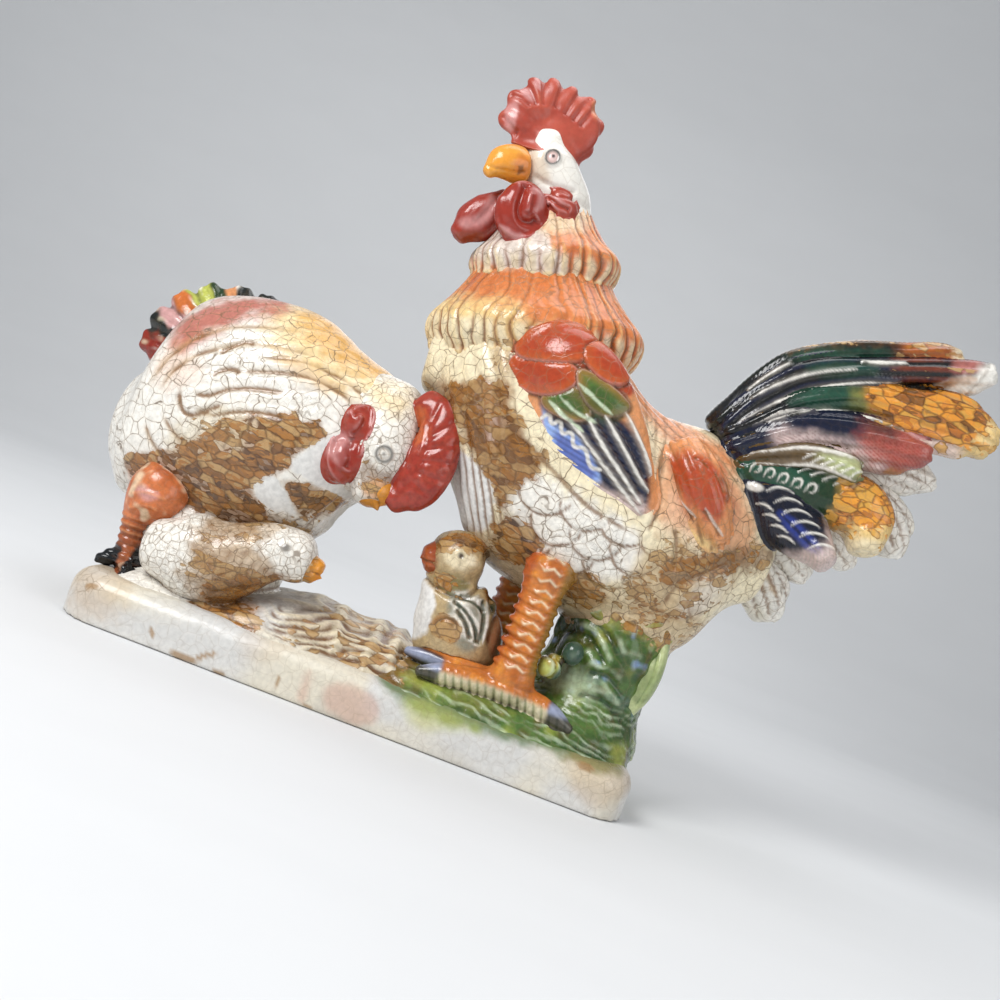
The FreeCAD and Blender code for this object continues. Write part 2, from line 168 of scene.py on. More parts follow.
def cloud(points, lump, seed=0):
    """Smooth noise from -1 to 1 with lumps of that width."""
    scaled = points / lump
    cells = np.floor(scaled).astype(np.int64)
    share = scaled - cells
    share = share * share * (3.0 - 2.0 * share)
    total = np.zeros(len(points))
    for corner in range(8):
        offset = np.array([corner & 1, corner >> 1 & 1, corner >> 2 & 1])
        weight = np.prod(np.where(offset, share, 1.0 - share), axis=1)
        total += weight * corner_values(cells + offset, seed)
    return total


def rounded_path(points, closed=False, rounds=2):
    """The path with its corners cut round."""
    path = np.array(points, float)
    for _ in range(rounds):
        start, end = (path, np.roll(path, -1, axis=0)) if closed else (path[:-1], path[1:])
        cut = np.stack((0.75 * start + 0.25 * end, 0.25 * start + 0.75 * end), 1).reshape(-1, 2)
        path = cut if closed else np.concatenate((path[:1], cut, path[-1:]))
    return path


def from_path(x, z, path):
    """Distance from a path, share of the way along it, and the signed side of it."""
    nearest = np.full(x.shape, 1e12)
    share, side = np.zeros(x.shape), np.ones(x.shape)
    steps = path[1:] - path[:-1]
    lengths = np.hypot(steps[:, 0], steps[:, 1]) + 1e-9
    done = 0.0
    for start, way, length in zip(path[:-1], steps, lengths):
        dx, dz = way / length
        rx, rz = x - start[0], z - start[1]
        along = np.clip(rx * dx + rz * dz, 0.0, length)
        off = (rx - along * dx) ** 2 + (rz - along * dz) ** 2
        closer = off < nearest
        nearest = np.where(closer, off, nearest)
        share = np.where(closer, (done + along) / lengths.sum(), share)
        side = np.where(closer, np.sign(dx * rz - dz * rx), side)
        done += length
    return np.sqrt(nearest), share, side


def within(x, z, loop):
    """Whether each place lies inside a closed path."""
    inside = np.zeros(x.shape, bool)
    for start, end in zip(loop, np.roll(loop, -1, axis=0)):
        if start[1] == end[1]:
            continue
        crosses = (start[1] > z) != (end[1] > z)
        at = start[0] + (z - start[1]) * (end[0] - start[0]) / (end[1] - start[1])
        inside ^= crosses & (x < at)
    return inside


class Skin:
    """The outer skin of a piece while it is carved and painted, in millimetres."""

    FAR = 60.0

    def __init__(self, points, faces):
        self.points, self.faces = points, faces
        self.links = neighbour_links(faces)
        self.normals = vertex_normals(points, faces)
        self.x, self.y, self.z = points.T
        self.count = len(points)
        self.lift = np.zeros(self.count)
        self.crest = np.zeros(self.count)
        self.colour = np.ones((self.count, 3))
        self.crackle = np.ones(self.count)
        self.flakes = np.zeros(self.count)
        self.shine = np.ones(self.count)
        self.stain = np.zeros(self.count)
        self.noises = {}

    def noise(self, lump, seed=0):
        key = (lump, seed)
        if key not in self.noises:
            self.noises[key] = cloud(self.points, lump, seed)
        return self.noises[key]

    def close_to(self, path, reach):
        """Picks the places near a path, so that far ones cost nothing."""
        low, high = path.min(0) - reach, path.max(0) + reach
        picked = (self.x > low[0]) & (self.x < high[0]) & (self.z > low[1]) & (self.z < high[1])
        return np.nonzero(picked)[0]

    def edge(self, outline, reach=12.0):
        """Signed distance from a closed outline, negative inside."""
        loop = rounded_path(outline, closed=True)
        picked = self.close_to(loop, reach)
        gap = np.full(self.count, self.FAR)
        x, z = self.x[picked], self.z[picked]
        distance = from_path(x, z, np.concatenate((loop, loop[:1])))[0]
        gap[picked] = np.where(within(x, z, loop), -distance, distance)
        return gap

    def patch(self, outline, soft=2.0, ragged=0.0, lump=4.0):
        """1 inside an outline and 0 outside it, with a soft or ragged edge."""
        gap = self.edge(outline, soft + ragged + 1.0)
        if ragged:
            gap = gap + ragged * self.noise(lump, 3) + 0.4 * ragged * self.noise(lump / 3, 4)
        return 1.0 - step(-soft, soft, gap)

    def line(self, path, reach=8.0):
        """Distance from a path, share along it and side of it, for the places near it."""
        path = rounded_path(path)
        picked = self.close_to(path, reach)
        gap, share = np.full(self.count, self.FAR), np.zeros(self.count)
        side = np.ones(self.count)
        found = from_path(self.x[picked], self.z[picked], path)
        gap[picked], share[picked], side[picked] = found
        return gap, share, side

    def stroke(self, path, width, soft=0.5, taper=0.35, ragged=0.0):
        """1 on a brush stroke that thins towards its ends."""
        gap, share, _ = self.line(path, width + soft + ragged + 1.0)
        thin = np.clip(np.minimum(share, 1.0 - share) / max(taper, 0.01), 0.0, 1.0) ** 0.6
        if ragged:
            gap = gap + ragged * self.noise(2.0, 5)
        half = 0.5 * width * thin
        return (1.0 - step(half - soft, half + soft, gap)) * step(0.0, 0.15, thin)

    def oval(self, centre, radii, turn=0.0, soft=0.25, ragged=0.0):
        """1 inside an oval and 0 outside it."""
        angle = math.radians(turn)
        dx, dz = self.x - centre[0], self.z - centre[1]
        along = (dx * math.cos(angle) + dz * math.sin(angle)) / radii[0]
        across = (dz * math.cos(angle) - dx * math.sin(angle)) / radii[1]
        reach = np.hypot(along, across)
        if ragged:
            reach = reach + ragged * self.noise(3.0, 6)
        return 1.0 - step(1.0 - soft, 1.0 + soft, reach)

    def groove(self, path, width, depth, taper=0.3):
        """Cuts a round groove along a path; a negative depth raises a ridge."""
        gap, share, _ = self.line(path, 3.0 * width)
        thin = step(0.0, taper, np.minimum(share, 1.0 - share) * 2.0)
        cut = bell(gap / (0.55 * width)) * thin
        self.lift -= depth * cut
        return cut

    def plates(self, outlines, lift=1.2, edge=1.2, moat=0.7):
        """Overlapping feathers, the front one first; returns the gap inside each."""
        covered = np.zeros(self.count, bool)
        gaps = []
        for outline in outlines:
            gap = self.edge(outline)
            gap = np.where(covered, self.FAR, gap)
            rise = lift * step(0.0, edge, -gap) + 0.35 * lift * step(edge, 5.0, -gap)
            ditch = moat * bell(np.maximum(gap, 0.0) / 0.9) * (gap > 0)
            self.lift += np.where(covered, 0.0, rise - ditch)
            covered |= gap < 0
            gaps.append(gap)
        return gaps

    def coat(self, colour, crackle=1.0, shine=1.0):
        """Lays the first glaze over the whole skin."""
        self.colour[:] = colour
        self.crackle[:] = crackle
        self.shine[:] = shine

    def tint(self, mask, colour, crackle=None, flakes=None, shine=None, stain=None):
        """Paints under a mask, and sets the finish there where one is given."""
        mask = np.clip(mask, 0.0, 1.0)
        self.colour += mask[:, None] * (colour - self.colour)
        given = (("crackle", crackle), ("flakes", flakes), ("shine", shine), ("stain", stain))
        for name, value in given:
            if value is not None:
                old = getattr(self, name)
                setattr(self, name, old + mask * (value - old))

    def settle(self, pressed=1.0):
        """Moves the skin by its relief and measures its crests and hollows."""
        self.lift = 0.7 * self.lift + 0.3 * spread(self.lift, self.links)
        self.points = self.points + self.normals * (pressed * self.lift)[:, None]
        flat = self.points
        for _ in range(5):
            flat = spread(flat, self.links)
        self.normals = vertex_normals(self.points, self.faces)
        self.crest = np.einsum("ij,ij->i", self.points - flat, self.normals)


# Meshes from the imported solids
def vertex_normals(points, faces):
    """Unit normals, averaged over the faces round each point."""
    first, second = points[faces[:, 2]] - points[faces[:, 0]], points[faces[:, 3]] - points[faces[:, 1]]
    flat = np.cross(first, second)
    normals = np.zeros_like(points)
    for corner in range(4):
        for axis in range(3):
            normals[:, axis] += np.bincount(faces[:, corner], flat[:, axis], len(points))
    return normals / (np.linalg.norm(normals, axis=1, keepdims=True) + 1e-12)


def neighbour_links(faces):
    """The two ends of each edge, both ways, and the number of edges at each point."""
    pairs = np.concatenate([faces[:, [i, (i + 1) % 4]] for i in range(4)])
    starts, ends = pairs[:, 0], pairs[:, 1]
    return starts, ends, np.bincount(starts, minlength=faces.max() + 1)


def spread(values, links):
    """Each value replaced by the mean of its neighbours'."""
    starts, ends, counts = links
    if values.ndim == 1:
        return np.bincount(starts, values[ends], len(counts)) / np.maximum(counts, 1)
    return np.stack([spread(column, links) for column in values.T], 1)


def solid_mesh(node):
    """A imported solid's points in millimetres and its triangles."""
    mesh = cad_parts[node].data
    points = np.empty(len(mesh.vertices) * 3, np.float32)
    mesh.vertices.foreach_get("co", points)
    mesh.calc_loop_triangles()
    corners = np.empty(len(mesh.loop_triangles) * 3, np.int32)
    mesh.loop_triangles.foreach_get("vertices", corners)
    return points.reshape(-1, 3) / MM, corners.reshape(-1, 3)


def closed_up(field, keep_open=None):
    """The field with rooms that can't be seen from the sides filled in."""
    solid = field < 0.0
    walled = np.ones_like(solid)
    for axis in (0, 1):
        walled &= np.maximum.accumulate(solid, axis)
        walled &= np.flip(np.maximum.accumulate(np.flip(solid, axis), axis), axis)
    room = walled & ~solid
    if keep_open is not None:
        room &= ~keep_open
    return np.where(room, field.min(), field)


def melted(one, other, melt):
    """Two fields joined, with a fillet of that size between them."""
    if melt <= 0.0:
        return np.minimum(one, other)
    share = np.clip(0.5 + 0.5 * (other - one) / melt, 0.0, 1.0)
    return other + share * (one - other) - melt * share * (1.0 - share)


class Block:
    """A box of signed distances round some solids, in millimetres."""

    def __init__(self, nodes, grain, reach):
        corners = np.array([[tuple(corner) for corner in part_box(node)] for node in nodes]) / MM
        self.grain, self.reach = grain, reach
        self.first = np.floor((corners[:, 0].min(0) - reach) / grain).astype(int) - 1
        last = np.ceil((corners[:, 1].max(0) + reach) / grain).astype(int) + 1
        self.counts = tuple(last - self.first)

    def field(self, node, keep_open=None):
        """Signed distance of one solid, with its inner room closed."""
        points, triangles = solid_mesh(node)
        place = openvdb.createLinearTransform(voxelSize=self.grain)
        grid = openvdb.FloatGrid.createLevelSetFromPolygons(
            points, triangles=triangles, transform=place, halfWidth=self.reach / self.grain
        )
        values = np.full(self.counts, self.reach, np.float32)
        grid.copyToArray(values, ijk=tuple(int(i) for i in self.first))
        return closed_up(values, keep_open)

    def opened(self, field, radius):
        """The field without knobs thinner than the radius; below zero, without notches that narrow."""
        place = openvdb.createLinearTransform(voxelSize=self.grain)
        grid = openvdb.FloatGrid(float(self.reach))
        grid.copyFromArray(field.astype(np.float32), ijk=tuple(int(i) for i in self.first))
        grid.transform = place
        points, faces = grid.convertToQuads(isovalue=-radius)
        width = (self.reach + abs(radius)) / self.grain
        grown = openvdb.FloatGrid.createLevelSetFromPolygons(
            points, quads=faces, transform=place, halfWidth=width
        )
        values = np.full(self.counts, self.reach + abs(radius), np.float32)
        grown.copyToArray(values, ijk=tuple(int(i) for i in self.first))
        return values - radius

    def axes(self):
        """Open grids of the x, y and z of the box's cells."""
        ranges = [(self.first[i] + np.arange(self.counts[i])) * self.grain for i in range(3)]
        return np.meshgrid(*ranges, indexing="ij", sparse=True)

    def skin(self, field, smoothing=2, ends=()):
        """The surface of a field as a skin."""
        grid = openvdb.FloatGrid(float(self.reach))
        grid.copyFromArray(field.astype(np.float32), ijk=tuple(int(i) for i in self.first))
        grid.transform = openvdb.createLinearTransform(voxelSize=self.grain)
        points, faces = grid.convertToQuads(isovalue=0.0)
        points, faces = points.astype(float), faces.astype(np.int64)
        volume = np.einsum(
            "ij,ij->i", points[faces[:, 0]], np.cross(points[faces[:, 1]], points[faces[:, 2]])
        ).sum()
        if volume < 0.0:
            faces = faces[:, ::-1]
        links = neighbour_links(faces)
        for _ in range(smoothing):
            inward = points + 0.55 * (spread(points, links) - points)
            points = inward + 0.5 * (inward - spread(inward, links))
        for *centre, radius in ends:
            away = np.linalg.norm(points - np.array(centre), axis=1)
            share = step(radius, 0.6 * radius, away)[:, None]
            for _ in range(int(END_SMOOTHING / self.grain**2)):
                points = points + share * (spread(points, links) - points)
        return Skin(points, faces)


def grain_of(name):
    """A mesh spacing by its property, in millimetres."""
    grain = getattr(bpy.context.scene.poultry_sizes, name) / MM
    return grain


def cast(
    nodes, grain_name, melt=0.0, carriers=(), flare=2.0, smoothing=2, keep_open=None, blunt=0.0, ends=()
):
    """The skin of some solids melted together and rooted in their carriers.

    Knobs thinner than blunt go, and the skin is smoothed out within each of the ends.
    """
    grain = grain_of(grain_name)
    block = Block(nodes, grain, max(melt, flare, 3.0, 1.0 - blunt) + 2.0 * grain)
    room = None if keep_open is None else keep_open(*block.axes())
    field = None
    for node in nodes:
        values = block.field(node, room)
        field = values if field is None else melted(field, values, melt)
    for carrier in carriers:
        inner = block.field(carrier) + SEAT_DEPTH
        foot = np.maximum(melted(field, inner, flare), field - flare)
        field = np.minimum(field, foot)
    if blunt:
        field = block.opened(field, blunt)
    return block.skin(field, smoothing, ends)


def fire(skin, name, material, nodes):
    """Makes the finished piece from its skin and puts it in the place of its solids."""
    mesh = bpy.data.meshes.new(name)
    count, faces = skin.count, skin.faces
    mesh.vertices.add(count)
    mesh.vertices.foreach_set("co", (skin.points * MM).astype(np.float32).ravel())
    mesh.loops.add(faces.size)
    mesh.loops.foreach_set("vertex_index", faces.astype(np.int32).ravel())
    mesh.polygons.add(len(faces))
    mesh.polygons.foreach_set("loop_start", np.arange(0, faces.size, 4, dtype=np.int32))
    mesh.polygons.foreach_set("use_smooth", np.ones(len(faces), bool))
    mesh.update(calc_edges=True)
    if mesh.validate():
        raise RuntimeError(f"{name}: the mesh had faults")
    layers = {
        "paint": np.column_stack((skin.colour, np.ones(count))),
        "finish": np.column_stack((skin.crackle, skin.flakes, skin.shine, skin.stain)),
    }
    for label, values in layers.items():
        layer = mesh.color_attributes.new(name=label, type="FLOAT_COLOR", domain="POINT")
        layer.data.foreach_set("color", np.clip(values, 0.0, 1.0).astype(np.float32).ravel())
    mesh.materials.append(material)
    piece = bpy.data.objects.new(name, mesh)
    bpy.context.scene.collection.objects.link(piece)
    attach(piece, "root")
    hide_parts(*nodes)
    return piece


# Glaze materials
class Graph:
    """Short calls for building a material's nodes."""

    def __init__(self, material):
        material.use_nodes = True
        self.tree = material.node_tree
        self.tree.nodes.clear()

    def node(self, kind, inputs=None, **settings):
        made = self.tree.nodes.new(kind)
        for name, value in settings.items():
            setattr(made, name, value)
        for socket, value in (inputs or {}).items():
            if isinstance(value, bpy.types.NodeSocket):
                self.tree.links.new(value, made.inputs[socket])
            else:
                made.inputs[socket].default_value = value
        return made

    def math(self, operation, first, second=0.0, clamp=False):
        inputs = {0: first, 1: second}
        return self.node("ShaderNodeMath", inputs, operation=operation, use_clamp=clamp).outputs[0]

    def ramp(self, value, low, high, start=0.0, end=1.0):
        inputs = {"Value": value, "From Min": low, "From Max": high, "To Min": start, "To Max": end}
        ranged = self.node("ShaderNodeMapRange", inputs, interpolation_type="SMOOTHSTEP")
        return ranged.outputs["Result"]

    def mix(self, share, first, second, blend="MIX"):
        made = self.node("ShaderNodeMix", data_type="RGBA", blend_type=blend)
        for socket, value in ((0, share), (6, first), (7, second)):
            if isinstance(value, bpy.types.NodeSocket):
                self.tree.links.new(value, made.inputs[socket])
            elif socket == 0:
                made.inputs[socket].default_value = value
            else:
                made.inputs[socket].default_value = (*value, 1.0)
        return made.outputs[2]


def glaze_material(name, slot_note, cell_share=1.0, crack_strength=0.8, mottle=0.12, golden=False):
    """Crackle glaze over painted clay; the paint and finish layers say what lies where."""
    sizes, colours = bpy.context.scene.poultry_sizes, Palette(bpy.context.scene.poultry_colours)
    material = bpy.data.materials.new(name)
    material["finish_note"] = slot_note
    graph = Graph(material)
    cell = sizes.crackle_cell / MM * cell_share
    flake = sizes.flake_cell / MM
    line = sizes.crackle_line / MM
    place = graph.node("ShaderNodeTexCoord").outputs["Object"]
    place = graph.node("ShaderNodeVectorMath", {0: place, 3: 1.0 / MM}, operation="SCALE").outputs[0]
    paint = graph.node("ShaderNodeAttribute", attribute_name="paint").outputs["Color"]
    finish = graph.node("ShaderNodeAttribute", attribute_name="finish")
    parts = graph.node("ShaderNodeSeparateColor", {0: finish.outputs["Color"]})
    crackle, flakes, shine = parts.outputs[0], parts.outputs[1], parts.outputs[2]
    stain = finish.outputs["Alpha"]

    bend = graph.node("ShaderNodeTexNoise", {"Vector": place, "Scale": 0.16, "Detail": 2.0})
    bend = graph.node(
        "ShaderNodeVectorMath", {0: bend.outputs["Color"], 1: (0.5, 0.5, 0.5)}, operation="SUBTRACT"
    )
    bend = graph.node("ShaderNodeVectorMath", {0: bend.outputs[0], 3: 0.4 * cell}, operation="SCALE")
    bent = graph.node("ShaderNodeVectorMath", {0: place, 1: bend.outputs[0]}).outputs[0]

    def cracks(width_of_cell, thickness):
        islands = graph.node(
            "ShaderNodeTexVoronoi",
            {"Vector": bent, "Scale": 1.0 / width_of_cell},
            feature="DISTANCE_TO_EDGE",
        ).outputs["Distance"]
        gap = graph.math("MULTIPLY", islands, width_of_cell)
        sharp = graph.ramp(gap, 0.25 * thickness, thickness, 1.0, 0.0)
        wide = graph.ramp(gap, 0.0, 4.0 * thickness, 1.0, 0.0)
        return sharp, wide

    patches = graph.node("ShaderNodeTexNoise", {"Vector": place, "Scale": 0.055, "Detail": 2.0})
    patchy = graph.ramp(patches.outputs[0], 0.38, 0.6)
    main_line, main_halo = cracks(cell, line)
    fine_line = cracks(0.42 * cell, 0.6 * line)[0]
    fine_share = graph.math("MULTIPLY", graph.math("MULTIPLY", fine_line, patchy), 0.6)
    faint = graph.node("ShaderNodeTexNoise", {"Vector": place, "Scale": 0.35, "Detail": 1.0})
    faint = graph.ramp(faint.outputs[0], 0.3, 0.55, 0.35, 1.0)
    lines = graph.math("MULTIPLY", graph.math("MAXIMUM", main_line, fine_share), faint)
    lines = graph.math("MULTIPLY", lines, crackle, clamp=True)
    halo = graph.math("MULTIPLY", graph.math("MULTIPLY", main_halo, crackle), 0.14)

    speck = graph.node("ShaderNodeTexNoise", {"Vector": place, "Scale": 0.5, "Detail": 4.0})
    speck = graph.ramp(speck.outputs[0], 0.25, 0.75, 1.0 - mottle, 1.0 + mottle)
    colour = graph.node("ShaderNodeVectorMath", {0: paint, 3: speck}, operation="SCALE").outputs[0]

    slanted = graph.node(
        "ShaderNodeMapping", {"Vector": bent, "Rotation": (0.3, 0.5, 0.2), "Scale": (0.62, 1.0, 1.35)}
    )
    chip_sizes = {"Vector": slanted.outputs[0], "Scale": 1.0 / flake}
    chips = graph.node("ShaderNodeTexVoronoi", chip_sizes)
    seams = graph.node("ShaderNodeTexVoronoi", chip_sizes, feature="DISTANCE_TO_EDGE")
    small = graph.node(
        "ShaderNodeTexVoronoi", {"Vector": slanted.outputs[0], "Scale": 2.1 / flake}, distance="MANHATTAN"
    )
    chip_tone = graph.node("ShaderNodeSeparateColor", {0: chips.outputs["Color"]}).outputs[0]
    small_tone = graph.node("ShaderNodeSeparateColor", {0: small.outputs["Color"]}).outputs[1]
    tone = graph.math(
        "ADD", graph.math("MULTIPLY", chip_tone, 0.7), graph.math("MULTIPLY", small_tone, 0.3)
    )
    chip_colours = (colours.coffee, colours.umber, colours.amber, colours.tan)
    if golden:
        chip_colours = (colours.umber, 0.5 * (colours.amber + colours.orange), colours.beak, colours.gold)
    dark = graph.mix(graph.ramp(tone, 0.18, 0.36), chip_colours[0], chip_colours[1])
    warm = graph.mix(graph.ramp(tone, 0.3, 0.55), dark, chip_colours[2])
    warm = graph.mix(graph.ramp(tone, 0.58, 0.74), warm, chip_colours[3])
    flaked = graph.mix(0.86, colour, warm)
    border = graph.ramp(seams.outputs["Distance"], 0.0, 0.12, 0.6, 0.0)
    flaked = graph.mix(border, flaked, colours.coffee)
    uneven = graph.math("MULTIPLY", graph.math("SUBTRACT", tone, 0.5), 0.9)
    present = graph.math("MULTIPLY", graph.ramp(flakes, 0.0, 0.08), graph.math("ADD", flakes, uneven))
    flakes = graph.ramp(present, 0.36, 0.44)
    colour = graph.mix(flakes, colour, flaked)

    wash = graph.node("ShaderNodeTexNoise", {"Vector": place, "Scale": 0.28, "Detail": 5.0})
    wash = graph.ramp(wash.outputs[0], 0.35, 0.65, 0.35, 1.0)
    wash = graph.math("MULTIPLY", wash, stain, clamp=True)
    colour = graph.mix(wash, colour, colours.umber)
    colour = graph.mix(halo, colour, colours.tan)
    strength = graph.math("MULTIPLY", lines, crack_strength)
    colour = graph.mix(strength, colour, colours.crack)

    grit = graph.node("ShaderNodeTexNoise", {"Vector": place, "Scale": 1.4, "Detail": 3.0})
    dull = graph.ramp(shine, 0.0, 1.0, 0.72, 0.13)
    rough = graph.math("ADD", dull, graph.math("MULTIPLY", grit.outputs[0], 0.1))
    rough = graph.math("ADD", rough, graph.math("MULTIPLY", lines, 0.25), clamp=True)

    swell = graph.node("ShaderNodeTexNoise", {"Vector": place, "Scale": 0.22, "Detail": 2.0})
    height = graph.math("MULTIPLY", swell.outputs[0], 0.35)
    height = graph.math("SUBTRACT", height, graph.math("MULTIPLY", lines, 0.12))
    height = graph.math(
        "ADD", height, graph.math("MULTIPLY", graph.math("MULTIPLY", tone, flakes), 0.5)
    )
    height = graph.math("ADD", height, graph.math("MULTIPLY", grit.outputs[0], 0.03))
    bump = graph.node("ShaderNodeBump", {"Strength": 0.55, "Distance": MM, "Height": height})
    shader = graph.node(
        "ShaderNodeBsdfPrincipled",
        {"Base Color": colour, "Roughness": rough, "IOR": 1.5, "Normal": bump.outputs[0]},
    )
    graph.node("ShaderNodeOutputMaterial", {"Surface": shader.outputs[0]})
    return material


# Carving shared by several pieces
def weather(skin, c, depth=0.35, width=0.25):
    """Lets stain gather in the hollows."""
    hollow = step(0.02, width, -skin.crest)
    skin.tint(0.6 * hollow, c.umber)
    skin.stain = np.maximum(skin.stain, depth * hollow)


def streaks(skin, outline, flow, pitch, depth, soft=3.0, wander=0.8):
    """Fine parallel ribs inside an outline, running along the flow angle in degrees."""
    mask = skin.patch(outline, soft)
    angle = math.radians(flow)
    across = skin.z * math.cos(angle) - skin.x * math.sin(angle)
    phase = (across + wander * skin.noise(9.0, 11)) * 2.0 * math.pi / pitch
    wave = np.sin(phase)
    skin.lift += depth * mask * wave
    return mask, wave


# Ground
def vent_room(x, y, z):
    """The vent through the plinth's foot, which stays open."""
    return (np.hypot(x + 40.0, y) < 7.0) & (z < 12.0)


class POULTRY_OT_plinth(bpy.types.Operator):
    """Casts the white plinth with its green run, pink stain and chips"""

    bl_idname = "poultry.plinth"
    bl_label = "Plinth"

    def execute(self, context):
        c = Palette(context.scene.poultry_colours)
        skin = cast(["plinth"], "plinth_grain", keep_open=vent_room, smoothing=1)
        side = step(0.4, 0.8, 1 - np.abs(skin.normals[:, 2]))
        skin.lift += side * (0.35 * skin.noise(22, 1) + 0.16 * skin.noise(7, 2))
        for z, depth, seed in ((17.2, 0.5, 21), (15.0, 0.35, 22), (12.6, 0.25, 23)):
            wander = 0.9 * skin.noise(30, seed) + 0.3 * skin.noise(8, seed)
            ridge = bell((skin.z - z + wander) / 0.55)
            skin.lift += depth * ridge * step(-60, 10, skin.x)
        skin.settle()
        skin.points[:, 2] = np.maximum(skin.points[:, 2], 0.0)
        skin.coat(0.86 * c.bare, crackle=0.25, shine=0.72)
        skin.tint(step(6, -3, skin.z) * 0.5, c.white, shine=0.45)
        skin.tint(0.5 * step(-0.2, 0.7, skin.noise(16, 8)), 0.9 * c.cream)
        skin.tint(0.4 * step(0.1, 0.6, skin.noise(24, 12)), 0.75 * c.slate + 0.2 * c.bare)
        skin.tint(0.4 * skin.patch([(-126, 24), (-118, 2), (-96, 4), (-88, 22)], 6, 3), c.tan)
        top = skin.patch([(6, 30), (10, 17), (34, 13), (56, 15), (84, 18), (112, 16), (124, 30)], 2.2, 1.2)
        skin.tint(0.85 * top, c.leaf, crackle=0.3, shine=1)
        run = skin.patch([(20, 20), (24, 10), (33, 8), (42, 12), (60, 16)], 3, 1)
        skin.tint(0.45 * run, c.lime, shine=0.95)
        for x0, x1, amount in ((-18, -14, 0.5), (-9, 15, 0.5)):
            blush = skin.patch([(x0, 14), (x0 + 1, 1), (x1, 1), (x1 - 1, 15)], 1.8, 1)
            skin.tint(amount * blush, 0.55 * c.pink + 0.45 * c.tan)
        web = skin.patch([(-48, 21), (-44, 9), (-33, 10), (-24, 21)], 4, 2)
        skin.tint(0.2 * web, c.tan, crackle=1)
        corner = skin.patch([(88, 24), (92, 8), (108, 2), (122, 14), (118, 30)], 4, 2)
        skin.tint(0.35 * corner, c.tan, crackle=0.8)
        skin.crackle = np.maximum(
            skin.crackle, 0.8 * skin.patch([(-126, 22), (-120, 6), (-104, 8), (-100, 22)], 4)
        )
        chips = (
            ((-64, 1.2), (6.5, 1.6), 0),
            ((-57, 4.5), (5, 0.9), 35),
            ((-49, 0.8), (2.6, 1.1), 0),
            ((-79, 5.5), (3.6, 0.9), -62),
            ((-27, 6), (0.8, 2.4), 0),
            ((98, 17), (3.6, 1.4), 0),
            ((-12, 0.8), (2.0, 0.8), 0),
            ((-108, 14), (3.0, 1.2), 20),
        )
        for centre, radii, turn in chips:
            chip = skin.oval(centre, radii, turn, 0.2, 0.35)
            skin.tint(0.8 * chip, 0.5 * (c.umber + c.tan), shine=0.5)
        weather(skin, c, 0.2)
        material = glaze_material("plinth_glaze", "white glaze run with green", 0.75, 0.55, 0.07)
        fire(skin, "plinth_casting", material, ["plinth"])
        return {"FINISHED"}


class POULTRY_OT_rock(bpy.types.Operator):
    """Carves the rocky ground with its twisted brown roots"""

    bl_idname = "poultry.rock"
    bl_label = "Rocky ground"

    def execute(self, context):
        c = Palette(context.scene.poultry_colours)
        skin = cast(["rock_mound"], "body_grain", carriers=["plinth"], flare=3)
        skin.lift += 1.1 * skin.noise(16, 1) + 0.5 * skin.noise(6, 2)
        roots = (
            [(-36, 36), (-24, 33), (-12, 31), (2, 32), (14, 33), (24, 30)],
            [(-40, 29), (-26, 28), (-12, 26), (2, 27), (16, 29)],
            [(-34, 24), (-20, 21), (-8, 24), (4, 23), (14, 26)],
            [(-46, 20), (-30, 19), (-16, 17), (-2, 19), (12, 18)],
            [(-26, 38), (-18, 33), (-14, 27), (-10, 20)],
            [(-2, 35), (2, 29), (1, 22), (4, 17)],
            [(8, 34), (10, 27), (14, 21)],
        )
        marks = [skin.groove(root, 4.2, -1.5, 0.2) for root in roots]
        twist, wave = streaks(
            skin, [(-42, 44), (-40, 16), (18, 14), (24, 40)], 4.0, 2.6, 0.4, 6.0, 2.2
        )
        skin.settle()
        skin.coat(0.6 * c.bare + 0.4 * c.slate, crackle=0.3, shine=0.35)
        white = skin.patch([(-128, 34), (-122, 12), (-62, 16), (-52, 24), (-60, 40)], 5, 2)
        skin.tint(white, c.white, crackle=0.5, shine=0.75)
        brown = skin.patch([(-32, 34), (-34, 22), (-8, 16), (10, 20), (22, 27), (22, 36), (0, 33)], 3, 2)
        skin.tint(0.62 * brown, c.umber, flakes=0.5, shine=0.8)
        skin.tint(0.8 * brown * step(0.25, 0.9, -wave), c.coffee, shine=0.8)
        skin.tint(0.5 * twist * step(0.2, 0.9, wave), c.cream)
        dark = skin.patch([(-62, 26), (-60, 16), (-44, 15), (-46, 24)], 2, 1.5)
        skin.tint(0.75 * dark, c.coffee, flakes=0.6, shine=0.8)
        flake = skin.patch([(-74, 24), (-70, 14), (-50, 14), (-40, 22), (-54, 30)], 3, 2)
        skin.tint(0.6 * flake, c.amber, flakes=0.9, shine=0.9)
        for root, mark in zip(roots, marks):
            skin.tint(0.35 * mark, c.cream)
        hollow = step(0.03, 0.3, -skin.crest)
        skin.tint(0.75 * hollow * twist, c.coffee)
        weather(skin, c)
        material = glaze_material("rock_glaze", "bare white rock with brown stain", 0.7, 0.6, 0.16)
        fire(skin, "rocky_ground", material, ["rock_mound"])
        return {"FINISHED"}


